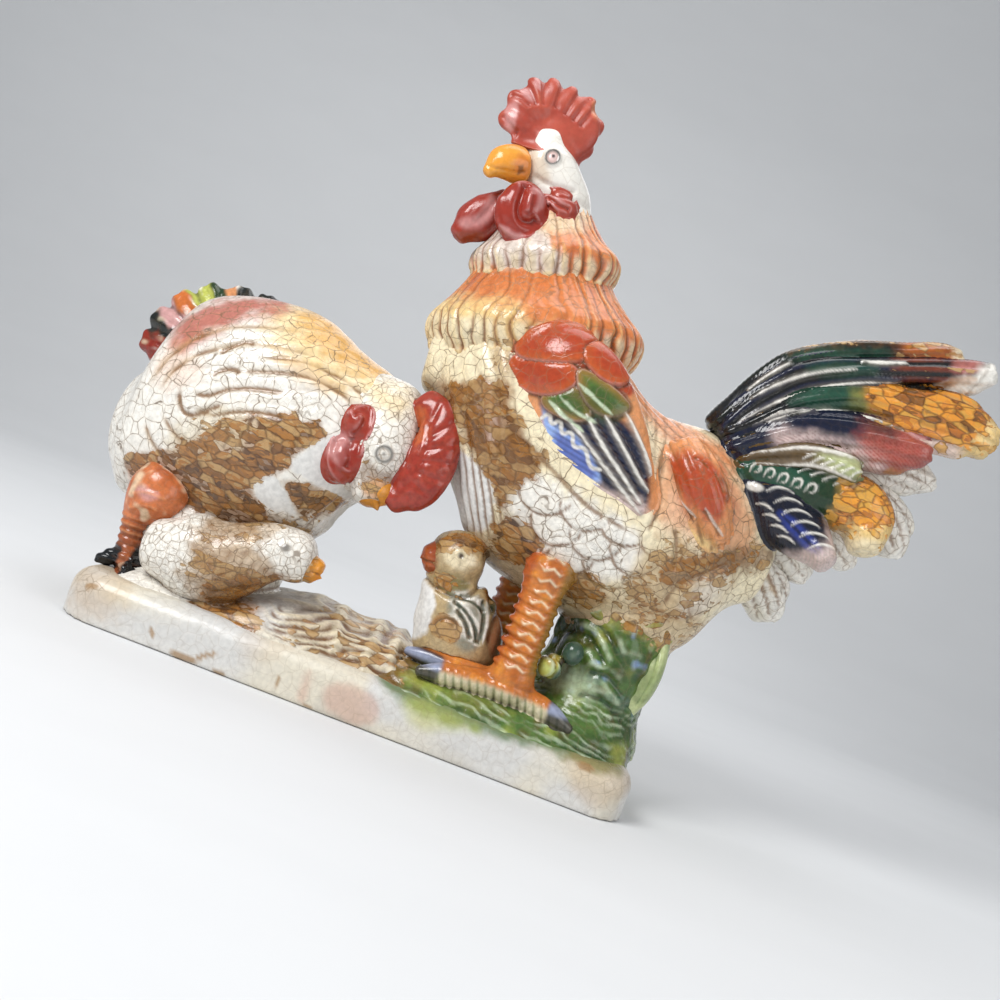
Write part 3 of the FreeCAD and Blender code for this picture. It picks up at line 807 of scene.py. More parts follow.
class POULTRY_OT_grass(bpy.types.Operator):
    """Carves the grassy bank and the stump under the rooster"""

    bl_idname = "poultry.grass"
    bl_label = "Grassy bank and stump"

    def execute(self, context):
        c = Palette(context.scene.poultry_colours)
        nodes = ["grass_mound", "stump"]
        skin = cast(nodes, "body_grain", 7, ["plinth", "rooster_body"], 3)
        height = step(34, 46, skin.z)
        bend = 2.4 * skin.noise(12, 3) + 0.9 * skin.noise(4, 4)
        blades = np.sin((skin.z + bend) * 2.0 * math.pi / 2.9 + skin.x * 0.3)
        blades = blades * step(-0.7, 0.5, skin.noise(6, 7))
        skin.lift += (1.0 - height) * 0.3 * blades
        clumps = skin.noise(9, 1) + 0.5 * skin.noise(4.5, 2)
        skin.lift += height * 1.5 * clumps + 0.3 * skin.noise(3, 9)
        tufts = (
            [(68, 70), (78, 72), (92, 66), (98, 58)],
            [(74, 62), (84, 64), (94, 54)],
            [(86, 50), (96, 52), (106, 44)],
            [(80, 82), (94, 78), (108, 80)],
            [(84, 40), (98, 42), (112, 34)],
        )
        for path in tufts:
            skin.groove(path, 3.4, 1.6)
        skin.settle()
        skin.coat(c.leaf, crackle=0.35)
        skin.tint(0.65 * step(-0.2, 0.7, skin.noise(11, 5)), c.moss)
        skin.tint(0.6 * step(0.2, 0.8, skin.noise(5, 8)), 0.5 * (c.umber + c.moss))
        teal_patch_and_claw_highlight = height * step(0, 0.6, skin.noise(7, 10))
        skin.tint(0.75 * teal_patch_and_claw_highlight, 0.8 * c.teal + 0.2 * c.navy)
        skin.tint(0.8 * height * step(0.55, 1, skin.noise(5, 12)), c.sky)
        skin.tint(0.5 * step(0.15, 0.9, skin.noise(8, 6)), c.lime)
        skin.tint(0.35 * step(0.1, 0.8, blades) * (1 - height), c.mint)
        olive = skin.patch([(64, 90), (66, 76), (84, 72), (104, 74), (118, 66), (122, 92)], 4, 3)
        skin.tint(0.8 * olive, 0.5 * c.amber + 0.5 * c.lime, flakes=0.7)
        pale = skin.patch([(66, 46), (70, 38), (92, 38), (96, 46), (84, 50)], 3, 2)
        skin.tint(0.5 * pale, c.mint)
        front = skin.patch([(8, 30), (14, 20), (60, 20), (60, 30)], 3, 2)
        skin.tint(0.25 * front, c.lime)
        # Painted highlights: mint on the crests.
        skin.tint(0.6 * step(0.1, 0.45, skin.crest), c.mint)
        skin.tint(0.75 * step(0.08, 0.4, -skin.crest), c.moss)
        earth = skin.patch([(2, 36), (4, 18), (16, 16), (20, 26), (26, 32)], 3, 2)
        skin.tint(0.8 * earth, c.umber, flakes=0.4)
        material = glaze_material("grass_glaze", "green glaze pooled in the hollows", 0.7, 0.45, 0.18)
        fire(skin, "grassy_bank", material, nodes)
        return {"FINISHED"}


class POULTRY_OT_buds(bpy.types.Operator):
    """Carves the two buds and the leaf on the stump"""

    bl_idname = "poultry.buds"
    bl_label = "Buds and leaf"

    def execute(self, context):
        c = Palette(context.scene.poultry_colours)
        skin = cast(["stump_buds"], "face_grain", 1, ["stump"], 2)
        skin.plates([[(66, 43), (66, 50), (73, 51), (75, 45), (71, 41)]], 0.8)
        skin.groove([(72, 52), (77, 50), (79, 45), (77, 41)], 1.6, 1.2)
        skin.settle()
        skin.coat(0.6 * c.teal + 0.4 * c.ink, crackle=0.1)
        skin.tint(skin.patch([(62, 39), (62, 53), (74, 54), (76, 48), (73, 39)], 1, 0.5), c.lime)
        skin.tint(0.6 * skin.patch([(66, 50), (72, 54), (76, 50), (73, 47)], 1.2, 0.6), c.amber)
        skin.tint(0.6 * step(0.05, 0.3, skin.crest), c.mint)
        skin.tint(0.7 * step(0.05, 0.3, -skin.crest), c.coffee)
        material = glaze_material("bud_glaze", "yellow-green buds", 0.5, 0.3)
        fire(skin, "stump_bud_pair", material, ["stump_buds"])
        skin = cast(["stump_leaf"], "face_grain", 0, ["stump"], 2)
        skin.groove([(112, 40), (113.5, 55), (113, 72)], 2, 1.1)
        skin.settle()
        skin.coat(0.5 * (c.lime + c.mint), crackle=0.2)
        skin.tint(0.7 * step(0.05, 0.3, -skin.crest), c.leaf)
        skin.tint(0.5 * step(-0.2, 0.6, skin.noise(8, 3)), c.leaf)
        material = glaze_material("leaf_glaze", "pale green leaf", 0.6, 0.4)
        fire(skin, "stump_leaf_blade", material, ["stump_leaf"])
        return {"FINISHED"}


# Hen
class POULTRY_OT_hen(bpy.types.Operator):
    """Carves the hen's crackled body, with its long curved feather lines"""

    bl_idname = "poultry.hen"
    bl_label = "Hen body"

    def execute(self, context):
        c = Palette(context.scene.poultry_colours)
        nodes = ["hen_body", "hen_seat"]
        skin = cast(nodes, "body_grain", 4, ["rock_mound"], 2, ends=[(-141, 9, 79, 15)])
        skin.lift += 0.5 * skin.noise(20, 1)
        lines = (
            ([(-123, 92), (-121, 106), (-113, 120), (-100, 130), (-84, 136), (-66, 139)], 3.4, 1.1),
            ([(-117, 92), (-115, 104), (-107, 115), (-95, 123), (-79, 129), (-60, 131)], 3.0, 1.0),
            ([(-99, 117), (-95, 123), (-90, 127), (-86, 126)], 2.6, 1.5),
            ([(-98, 107), (-94, 112), (-89, 114), (-86, 112)], 2.6, 1.4),
            ([(-108, 99), (-107, 94), (-103, 89.5), (-98, 90), (-93, 95), (-87, 99)], 2.8, 1.7),
            ([(-103, 99), (-96, 99), (-89, 105), (-78, 109.5), (-64, 112)], 2.6, 1.4),
            ([(-100, 94), (-92, 92), (-84, 97), (-74, 101), (-60, 103)], 2.4, 1.1),
            ([(-88, 113), (-76, 118), (-62, 121.5), (-48, 121), (-38, 116)], 2.6, 1.2),
            ([(-84, 121), (-70, 126), (-54, 127), (-38, 123), (-30, 118)], 2.4, 0.8),
            ([(-112, 86), (-104, 80), (-94, 78), (-82, 82)], 2.6, 0.9),
            ([(-119, 80), (-112, 72), (-100, 68)], 2.8, 0.9),
        )
        marks = [skin.groove(path, 0.8 * width, 0.7 * depth, 0.3) for path, width, depth in lines]
        bands = np.sin(0.85 * (skin.z - 0.35 * skin.x + 2.0 * skin.noise(24, 4)))
        upper = skin.patch([(-122, 100), (-112, 138), (-80, 148), (-40, 140), (-40, 112), (-90, 100)], 9)
        skin.lift += 0.3 * upper * bands
        folds, _ = streaks(
            skin, [(-44, 74), (-18, 84), (-8, 76), (-26, 54), (-44, 58)], 62.0, 3.4, 0.5, 4.0, 1.0
        )
        skin.settle()
        skin.colour[:] = c.white
        skin.tint(
            0.75 * skin.patch(
                [(-92, 152), (-88, 132), (-60, 122), (-32, 122), (-20, 134), (-40, 152)], 7, 3
            ),
            c.straw
        )
        skin.tint(
            0.9 * skin.patch(
                [(-84, 152), (-74, 138), (-52, 129), (-32, 131), (-22, 136), (-40, 152)], 6, 3
            ),
            c.gold
        )
        skin.tint(
            0.4 * skin.patch([(-84, 126), (-66, 129), (-44, 122), (-48, 118), (-70, 120)], 3, 1.5), c.gold
        )
        rump = [
            (-130, 118), (-121, 132), (-108, 145), (-88, 152), (-82, 145), (-98, 136), (-106, 124),
            (-114, 112)
        ]
        skin.tint(0.85 * skin.patch(rump, 5, 3, 6), c.brick)
        skin.tint(0.3 * skin.patch([(-128, 104), (-118, 118), (-100, 108), (-112, 96)], 6, 3), c.peach)
        for mark in marks[2:7]:
            skin.tint(0.7 * mark, 0.5 * (c.umber + c.tan))
        for mark in marks[:2] + marks[7:]:
            skin.tint(0.5 * mark, c.tan)
        band = [
            (-126, 58), (-122, 66), (-108, 72), (-98, 80), (-88, 90), (-78, 97), (-66, 103), (-48, 106),
            (-44, 100), (-52, 90), (-57, 84), (-60, 78), (-66, 71), (-60, 66), (-52, 62), (-60, 54), (
                -112, 54
            ),
        ]
        stained = skin.patch(band, 1.6, 2.6, 5)
        skin.tint(0.75 * stained, 0.5 * (c.umber + c.amber), crackle=0.35, flakes=0.95)
        thin = skin.patch([(-110, 76), (-98, 92), (-84, 100), (-70, 98), (-74, 84), (-96, 74)], 4, 3)
        skin.tint(0.45 * thin, c.cream, flakes=0.35, crackle=1, stain=0.5)
        second = skin.patch([(-58, 80), (-46, 82), (-30, 80), (-34, 73), (-44, 66), (-50, 70)], 1.6, 1.6, 3)
        skin.tint(0.75 * second, 0.5 * (c.umber + c.tan), flakes=0.9, crackle=0.3)
        low = skin.patch([(-66, 62), (-52, 66), (-38, 62), (-34, 50), (-60, 50)], 3, 2)
        skin.tint(0.5 * low, c.umber, flakes=0.6, crackle=1)
        for bare in (
            [(-57, 86), (-50, 92), (-48, 100), (-40, 104), (-36, 88), (-26, 82), (-30, 80), (-46, 82)],
            [(-66, 72), (-60, 80), (-54, 77), (-48, 70), (-46, 66), (-58, 66)],
            [(-36, 72), (-24, 82), (-8, 80), (-20, 62), (-30, 54), (-38, 60)],
        ):
            skin.tint(skin.patch(bare, 0.9, 1, 3), c.bare, crackle=0, flakes=0, shine=0.12, stain=0)
        skin.tint(0.35 * folds * step(0.05, 0.3, -skin.crest), c.slate)
        low_left = skin.patch([(-122, 60), (-110, 58), (-96, 56), (-98, 46), (-114, 48)], 3, 2)
        skin.tint(0.6 * low_left, c.peach)
        weather(skin, c, 0.4)
        material = glaze_material("hen_glaze", "thick white crackle glaze", 0.95)
        fire(skin, "hen_figure", material, nodes)
        return {"FINISHED"}


class POULTRY_OT_hen_face(bpy.types.Operator):
    """Carves the hen's head, comb, wattle, earlobe and beak"""

    bl_idname = "poultry.hen_face"
    bl_label = "Hen head"

    def execute(self, context):
        c = Palette(context.scene.poultry_colours)
        skin = cast(["hen_head"], "face_grain", 0, ["hen_body"], 4)
        eye = np.hypot(skin.x + 21.3, skin.z - 103.3)
        near = skin.normals[:, 1] < 0.9
        skin.lift += 0.7 * bell((eye - 3.2) / 0.8) + 0.5 * bell(eye / 1.3)
        skin.lift += 0.25 * skin.noise(7, 1)
        skin.settle()
        skin.colour[:] = c.white
        skin.tint(0.6 * skin.patch([(-40, 132), (-18, 130), (-20, 118), (-36, 120)], 5, 2), c.straw)
        ring = bell((eye - 3.0) / 0.75) * near
        skin.tint(0.85 * ring, 0.16 * c.slate, crackle=0)
        skin.tint(0.7 * bell(eye / 0.8), c.ink, crackle=0)
        below = skin.patch([(-29, 99), (-20, 97), (-12, 96), (-13, 86), (-26, 86)], 2, 1.5, 3)
        skin.tint(0.6 * below, c.umber, flakes=0.6)
        skin.tint(0.6 * skin.patch([(-24, 92), (-13, 94), (-12, 84), (-24, 84)], 2, 1), c.beak)
        weather(skin, c, 0.3)
        material = glaze_material("hen_face_glaze", "white crackle glaze", 0.55, 0.75)
        fire(skin, "hen_face", material, ["hen_head"])

        skin = cast(["hen_beak"], "face_grain", 0, ["hen_head"], 3, ends=[(-15.5, -30, 79, 6)])
        skin.groove([(-22, 87), (-17, 85), (-14, 80)], 1.6, 0.8)
        skin.settle()
        skin.coat(0.7 * c.beak + 0.3 * c.amber, crackle=0.3)
        skin.tint(0.6 * step(-0.1, 0.7, skin.noise(4, 2)), c.amber, flakes=0.4)
        skin.tint(0.5 * step(84, 79, skin.z), c.umber)
        weather(skin, c, 0.5)
        material = glaze_material("hen_beak_glaze", "orange-brown beak", 0.5, 0.5)
        fire(skin, "hen_beak_pair", material, ["hen_beak"])

        skin = cast(["hen_comb"], "face_grain", 0, ["hen_head", "hen_body"], 2)
        for i, (x, z) in enumerate([(-8, 133), (2, 128), (7, 119), (8, 110), (7, 101), (3, 93), (-3, 86)]):
            inner = (-9 + 0.35 * i, 118 - 4.2 * i)
            middle = (0.45 * x + 0.55 * inner[0], 0.45 * z + 0.55 * inner[1])
            skin.groove([(x, z), middle, inner], 2.2, 0.5, 0.4)
        skin.groove([(-11, 124), (-6, 110), (-7, 98), (-10, 90)], 2.6, 0.6)
        skin.lift += 0.35 * skin.noise(4, 3)
        skin.settle()
        self.red_flesh(skin, c)
        skin.tint(0.5 * skin.patch([(-18, 130), (-10, 124), (-8, 112), (-14, 112)], 2, 2), c.orange)
        material = glaze_material("comb_flesh", "mottled red glaze", 0.6, 0.25, 0.2)
        fire(skin, "hen_comb_lobe", material, ["hen_comb"])

        skin = cast(["hen_wattle", "hen_earlobe"], "face_grain", 3, ["hen_head", "hen_body"], 2)
        hollows = (
            ([(-39, 114), (-36, 116.5), (-32.5, 115), (-33, 109), (-36, 105)], 2.4, 1.2),
            ([(-36, 105), (-35, 100), (-32, 97), (-33, 92)], 2.8, 1.4),
            ([(-41, 102), (-40, 95), (-36, 90), (-31, 89)], 1.6, 0.5),
        )
        for path, width, depth in hollows:
            skin.groove(path, width, depth, 0.1)
        skin.groove([(-43, 106), (-42.5, 96), (-38, 88), (-28, 85)], 1.8, -0.8, 0.1)
        skin.groove([(-41, 112), (-37, 119), (-31, 118), (-29.5, 110), (-30, 98)], 2, -0.9, 0.1)
        skin.settle()
        self.red_flesh(skin, c)
        skin.tint(
            0.55 * skin.patch([(-45, 106), (-36, 106), (-34, 100), (-36, 92), (-44, 96)], 2, 1), c.pink
        )
        skin.tint(0.7 * skin.oval((-34, 97), (3.6, 5), 10, 0.4, 0.3), c.deep_red)
        material = glaze_material("wattle_flesh", "glossy dark red glaze", 0.6, 0.12, 0.1)
        fire(skin, "hen_wattle_and_lobe", material, ["hen_wattle", "hen_earlobe"])
        return {"FINISHED"}

    def red_flesh(self, skin, c):
        """Deep red with painted pink highlights on the crests and darker red in the hollows."""
        skin.coat(0.7 * c.deep_red + 0.3 * c.comb_red, crackle=0.15)
        skin.tint(0.35 * step(-0.2, 0.8, skin.noise(5, 7)), c.comb_red)
        # Painted highlights: pink on the crests.
        skin.tint(0.5 * step(0.08, 0.35, skin.crest), c.pink)
        skin.tint(0.6 * step(0.05, 0.3, -skin.crest), 0.5 * c.deep_red)


class POULTRY_OT_hen_tail(bpy.types.Operator):
    """Carves the fan of short tail feathers behind the hen's rump"""

    bl_idname = "poultry.hen_tail"
    bl_label = "Hen tail"

    def execute(self, context):
        c = Palette(context.scene.poultry_colours)
        nodes = [f"hen_tail_feather_{number}" for number in range(1, 8)]
        skin = cast(nodes, "plume_grain", 0.8, ["hen_body"], 2)
        angle = np.degrees(np.arctan2(skin.z - 115.0, -100.0 - skin.x))
        skin.lift += 0.35 * np.sin(np.radians(angle) * 46.0) + 0.3 * skin.noise(3.5, 2)
        skin.settle()
        skin.colour[:] = c.moss
        bands = (
            (-30, 4, c.deep_red), (4, 14, c.ink), (14, 24, c.pink), (24, 33, c.orange),
            (33, 45, c.lime), (45, 56, c.moss), (56, 66, c.peach), (66, 130, c.ink),
        )
        wander = 5.0 * skin.noise(6, 5)
        for low, high, colour in bands:
            inside = step(low - 2, low + 2, angle + wander) * (1 - step(high - 2, high + 2, angle + wander))
            skin.tint(0.9 * inside, colour)
        skin.tint(0.7 * step(84, 96, angle + wander), c.navy)
        skin.tint(0.5 * step(0.3, 0.9, skin.noise(4, 9)), c.cream)
        skin.tint(0.8 * step(0.1, 0.35, skin.crest) * step(0, 0.6, skin.noise(7, 4)), c.white)
        skin.tint(0.6 * step(0.05, 0.3, -skin.crest), c.ink)
        skin.crackle[:] = 0.2
        material = glaze_material("hen_tail_glaze", "dark glaze over feathers", 0.6, 0.3)
        fire(skin, "hen_tail_fan", material, nodes)
        return {"FINISHED"}


class POULTRY_OT_hen_legs(bpy.types.Operator):
    """Carves the hen's legs and clawed feet"""

    bl_idname = "poultry.hen_legs"
    bl_label = "Hen legs"

    def execute(self, context):
        c = Palette(context.scene.poultry_colours)
        material = glaze_material("hen_leg_glaze", "orange-red leg, black claws", 0.6, 0.4, 0.16)
        for side in ("near", "far"):
            nodes = [f"hen_leg_{side}", f"hen_foot_{side}"]
            skin = cast(nodes, "face_grain", 2, ["rock_mound", "plinth", "hen_body"], 1.5)
            skin.lift += 0.35 * np.sin(skin.z * 2.0 * math.pi / 3.2) * step(46, 40, skin.z)
            for path in ([(-114, 50), (-106, 55), (-96, 54)], [(-112, 45), (-104, 50), (-98, 49)]):
                skin.groove(path, 2.2, -0.7)
            skin.settle()
            skin.coat(0.35 * c.orange + 0.35 * c.brick + 0.3 * c.peach, crackle=0.4)
            skin.tint(0.6 * step(-0.1, 0.8, skin.noise(5, 3)), 0.6 * c.brick + 0.4 * c.umber)
            skin.tint(0.6 * step(0.2, 0.8, skin.noise(4, 6)), c.cream)
            skin.tint(0.7 * skin.patch([(-112, 55), (-106, 57), (-99, 54), (-106, 50)], 1.5, 1), c.pink)
            skin.tint(0.6 * step(43, 36, skin.z), 0.5 * (c.deep_red + c.umber))
            claws = step(31.5, 28.5, skin.z) * step(-107, -109, skin.x)
            skin.tint(claws, c.ink, crackle=0)
            claws = step(33, 30, skin.z) * step(-104.5, -103, skin.x)
            skin.tint(claws, c.ink, crackle=0)
            skin.tint(0.5 * step(0.05, 0.25, skin.crest) * (skin.z > 34), c.peach)
            skin.tint(0.6 * step(0.05, 0.25, -skin.crest), c.coffee)
            fire(skin, f"hen_leg_and_foot_{side}", material, nodes)
        return {"FINISHED"}


# Chicks
class POULTRY_OT_left_chick(bpy.types.Operator):
    """Carves the chick in front of the hen"""

    bl_idname = "poultry.left_chick"
    bl_label = "Left chick"

    def execute(self, context):
        c = Palette(context.scene.poultry_colours)
        skin = cast(["left_chick"], "plume_grain", 0, ["rock_mound", "hen_body", "hen_seat"], 1.6)
        skin.lift += 0.3 * skin.noise(10, 1)
        skin.groove([(-50, 62), (-54, 52), (-48, 42), (-38, 38)], 3, 0.6)
        skin.groove([(-80, 30), (-66, 26), (-54, 32), (-44, 38), (-34, 42)], 2.6, 0.7)
        skin.lift += 0.15 * skin.noise(2.6, 7) * step(-82, -72, skin.x) * step(-42, -50, skin.x)
        eye = np.hypot(skin.x + 43.5, skin.z - 54.6)
        skin.lift += 0.4 * bell(eye / 1.8)
        skin.settle()
        skin.colour[:] = c.white
        middle = skin.patch(
            [(-79, 58), (-78, 30), (-66, 18), (-48, 20), (-42, 40), (-52, 52), (-64, 60)], 4, 4, 5
        )
        skin.tint(0.6 * middle, c.tan, flakes=0.5, stain=0.8)
        amber = skin.patch(
            [(-70, 34), (-66, 20), (-48, 18), (-40, 34), (-32, 42), (-42, 44), (-52, 38)], 3, 3, 4
        )
        skin.tint(0.8 * amber, 0.5 * (c.amber + c.umber), flakes=0.8, stain=0.5)
        skin.tint(0.5 * skin.patch([(-76, 58), (-60, 64), (-46, 62), (-56, 54)], 3, 2), c.tan, flakes=0.5)
        skin.tint(0.3 * step(0.1, 0.7, skin.noise(3, 9)) * middle, c.umber)
        skin.tint(0.75 * np.exp(-((eye / 1.5) ** 4)), 0.7 * c.slate * 0.6, crackle=0)
        spot = skin.oval((-43.5, 54.6), (2.2, 1.4), 20, 0.3)
        skin.tint(0.7 * spot, 0.5 * c.slate, crackle=0)
        skin.tint(0.8 * skin.stroke([(-84, 18), (-76, 20), (-68, 21)], 2.2, 0.5), c.ink)
        weather(skin, c, 0.3)
        material = glaze_material("chick_glaze", "white crackle glaze, brown mottling", 0.5, 0.7, 0.16)
        fire(skin, "left_chick_figure", material, ["left_chick"])

        skin = cast(
            ["left_chick_beak"], "face_grain", 0, ["left_chick"], flare=1.5, ends=[(-24.5, -34, 46.5, 5)]
        )
        skin.groove([(-32, 49), (-28, 48.5), (-23, 47.5)], 1.4, 0.8)
        skin.settle()
        skin.coat(c.beak, crackle=0.2)
        skin.tint(0.6 * step(0, 0.8, skin.noise(4, 2)), c.orange)
        skin.tint(0.6 * step(-29, -32, skin.x), c.umber, flakes=0.3)
        weather(skin, c, 0.5)
        material = glaze_material("chick_beak_glaze", "orange beak", 0.5, 0.5)
        fire(skin, "left_chick_bill", material, ["left_chick_beak"])
        return {"FINISHED"}


class POULTRY_OT_right_chick(bpy.types.Operator):
    """Carves the chick at the rooster's leg, with its ridged wing"""

    bl_idname = "poultry.right_chick"
    bl_label = "Right chick"

    def execute(self, context):
        c = Palette(context.scene.poultry_colours)
        nodes = ["right_chick_body", "right_chick_head"]
        carriers = ["grass_mound", "rock_mound", "rooster_leg_near", "rooster_body"]
        skin = cast(nodes, "face_grain", 2, carriers, 1.6)
        skin.groove([(8, 62), (18, 59), (28, 59), (34, 64), (35, 74), (31, 81)], 2.4, 1.4, 0.1)
        wing_lines = (
            [(25, 58), (33, 55), (39, 50), (41, 44)],
            [(27, 60), (35, 60), (40, 57)],
            [(28, 55), (34, 51), (38, 45)],
            [(34, 66), (38, 72), (36, 80)],
            [(37, 62), (41, 54), (42, 44)],
            [(42, 70), (38, 66), (44, 58)],
        )
        for path in wing_lines:
            skin.groove(path, 2, 1, 0.15)
        skin.groove([(21, 42), (24, 50), (31, 50), (33, 42)], 1.6, 0.9)
        skin.groove([(43, 78), (46, 66), (45, 52), (47, 42)], 2.6, 1.4)
        eye = np.hypot(skin.x - 22.3, skin.z - 75.6)
        skin.lift += 0.4 * bell((eye - 2.0) / 0.7) - 0.5 * bell(eye / 1.0)
        skin.lift += 0.3 * skin.noise(4, 2)
        skin.settle()
        skin.coat(0.45 * c.tan + 0.3 * c.amber + 0.25 * c.mint, crackle=0.6)
        clear = skin.oval((22, 74), (6.5, 4.5), 0, 0.5, 0.4)
        skin.tint(0.8 * clear, c.cream)
        breast = skin.patch([(2, 64), (10, 60), (20, 57), (21, 38), (8, 34), (2, 50)], 1, 0.8)
        skin.tint(breast, c.bare, crackle=0, shine=0.12)
        brow = skin.patch([(4, 68), (8, 76), (18, 86), (32, 84), (32, 78), (20, 79), (12, 72)], 1.5, 1.5, 3)
        skin.tint(0.85 * brow, 0.6 * c.umber + 0.4 * c.amber, flakes=0.8)
        cheek = skin.patch([(12, 64), (22, 68), (31, 66), (29, 58), (18, 58)], 1.5, 1, 3)
        skin.tint(0.85 * cheek, 0.5 * (c.umber + c.leaf), flakes=0.5)
        mouth = skin.patch([(3, 70), (12, 74), (16, 66), (8, 62)], 1.5, 1)
        skin.tint(0.7 * mouth, 0.5 * (c.brick + c.umber), flakes=0.4)
        wing = skin.patch([(22, 62), (38, 64), (45, 48), (38, 38), (28, 46)], 1.5, 0.6)
        skin.tint(0.85 * wing, 0.5 * (c.teal + c.slate))
        skin.tint(0.9 * wing * step(0.02, 0.2, skin.crest), c.white)
        lobe = skin.patch([(20, 42), (21, 51), (33, 51), (34, 41)], 1.2, 0.6)
        skin.tint(0.8 * lobe, c.amber, flakes=0.6)
        rear = skin.patch([(33, 92), (36, 62), (44, 60), (52, 90)], 1.5, 1)
        skin.tint(0.85 * rear, 0.5 * (c.umber + c.amber), flakes=0.8)
        skin.tint(0.7 * skin.patch([(36, 76), (40, 78), (47, 72), (44, 66), (37, 68)], 1.2, 0.8), c.mint)
        for path in wing_lines:
            beside = [(x + 1.4, z + 0.7) for x, z in path]
            skin.tint(0.8 * skin.stroke(path, 1.5, 0.4, 0.2, 0.4), 0.5 * (c.teal + c.ink))
            skin.tint(0.9 * skin.stroke(beside, 0.9, 0.4, 0.3, 0.4), c.white)
        skin.tint(0.6 * skin.patch([(37, 66), (44, 66), (47, 58), (40, 56)], 1.2, 0.8), c.moss)
        back = skin.patch([(43, 84), (45, 40), (54, 40), (54, 84)], 1.2, 1)
        skin.tint(0.75 * back, 0.5 * (c.deep_red + c.umber))
        skin.tint(0.9 * np.exp(-((eye / 1.35) ** 4)), c.ink, crackle=0, flakes=0)
        skin.tint(0.55 * step(0.08, 0.3, skin.crest) * (1 - breast), c.cream)
        skin.tint(0.7 * step(0.04, 0.25, -skin.crest) * (1 - breast), c.coffee)
        material = glaze_material("right_chick_glaze", "brown and green glaze", 0.5, 0.5, 0.16)
        fire(skin, "right_chick_figure", material, nodes)

        skin = cast(["right_chick_beak"], "face_grain", 0, ["right_chick_head"], 4, ends=[(4, -20, 67, 5)])
        skin.groove([(14, 68.5), (8, 68), (2, 66.5)], 1.4, 0.8)
        skin.settle()
        skin.coat(0.6 * c.brick + 0.4 * c.umber, crackle=0.3)
        skin.tint(0.6 * step(0, 0.25, skin.crest), c.orange)
        weather(skin, c, 0.5)
        material = glaze_material("right_chick_beak_glaze", "red-brown beak", 0.5, 0.5)
        fire(skin, "right_chick_bill", material, ["right_chick_beak"])
        return {"FINISHED"}


# Rooster
SCALES = (
    [(38, 168), (43, 176), (53, 176), (60, 168), (57, 161), (47, 161)],
    [(13, 163), (18, 173), (30, 180), (41, 178), (43, 171), (38, 164), (26, 160), (17, 159)],
    [(39, 161), (46, 162), (56, 159), (64, 155), (58, 148), (49, 148), (42, 154)],
    [(13, 151), (14, 160), (24, 162), (38, 162), (40, 155), (33, 148), (22, 147)],
    [(30, 150), (40, 155), (48, 150), (50, 144), (42, 141), (31, 143)],
)
PRIMARIES = (
    [(62, 152), (70, 145), (78, 137), (81, 132)],
    [(55, 148), (66, 139), (77, 130), (83, 126)],
    [(48, 146), (58, 137), (70, 129), (82, 121)],
    [(36, 144), (46, 140), (58, 132), (72, 124), (84, 117)],
)


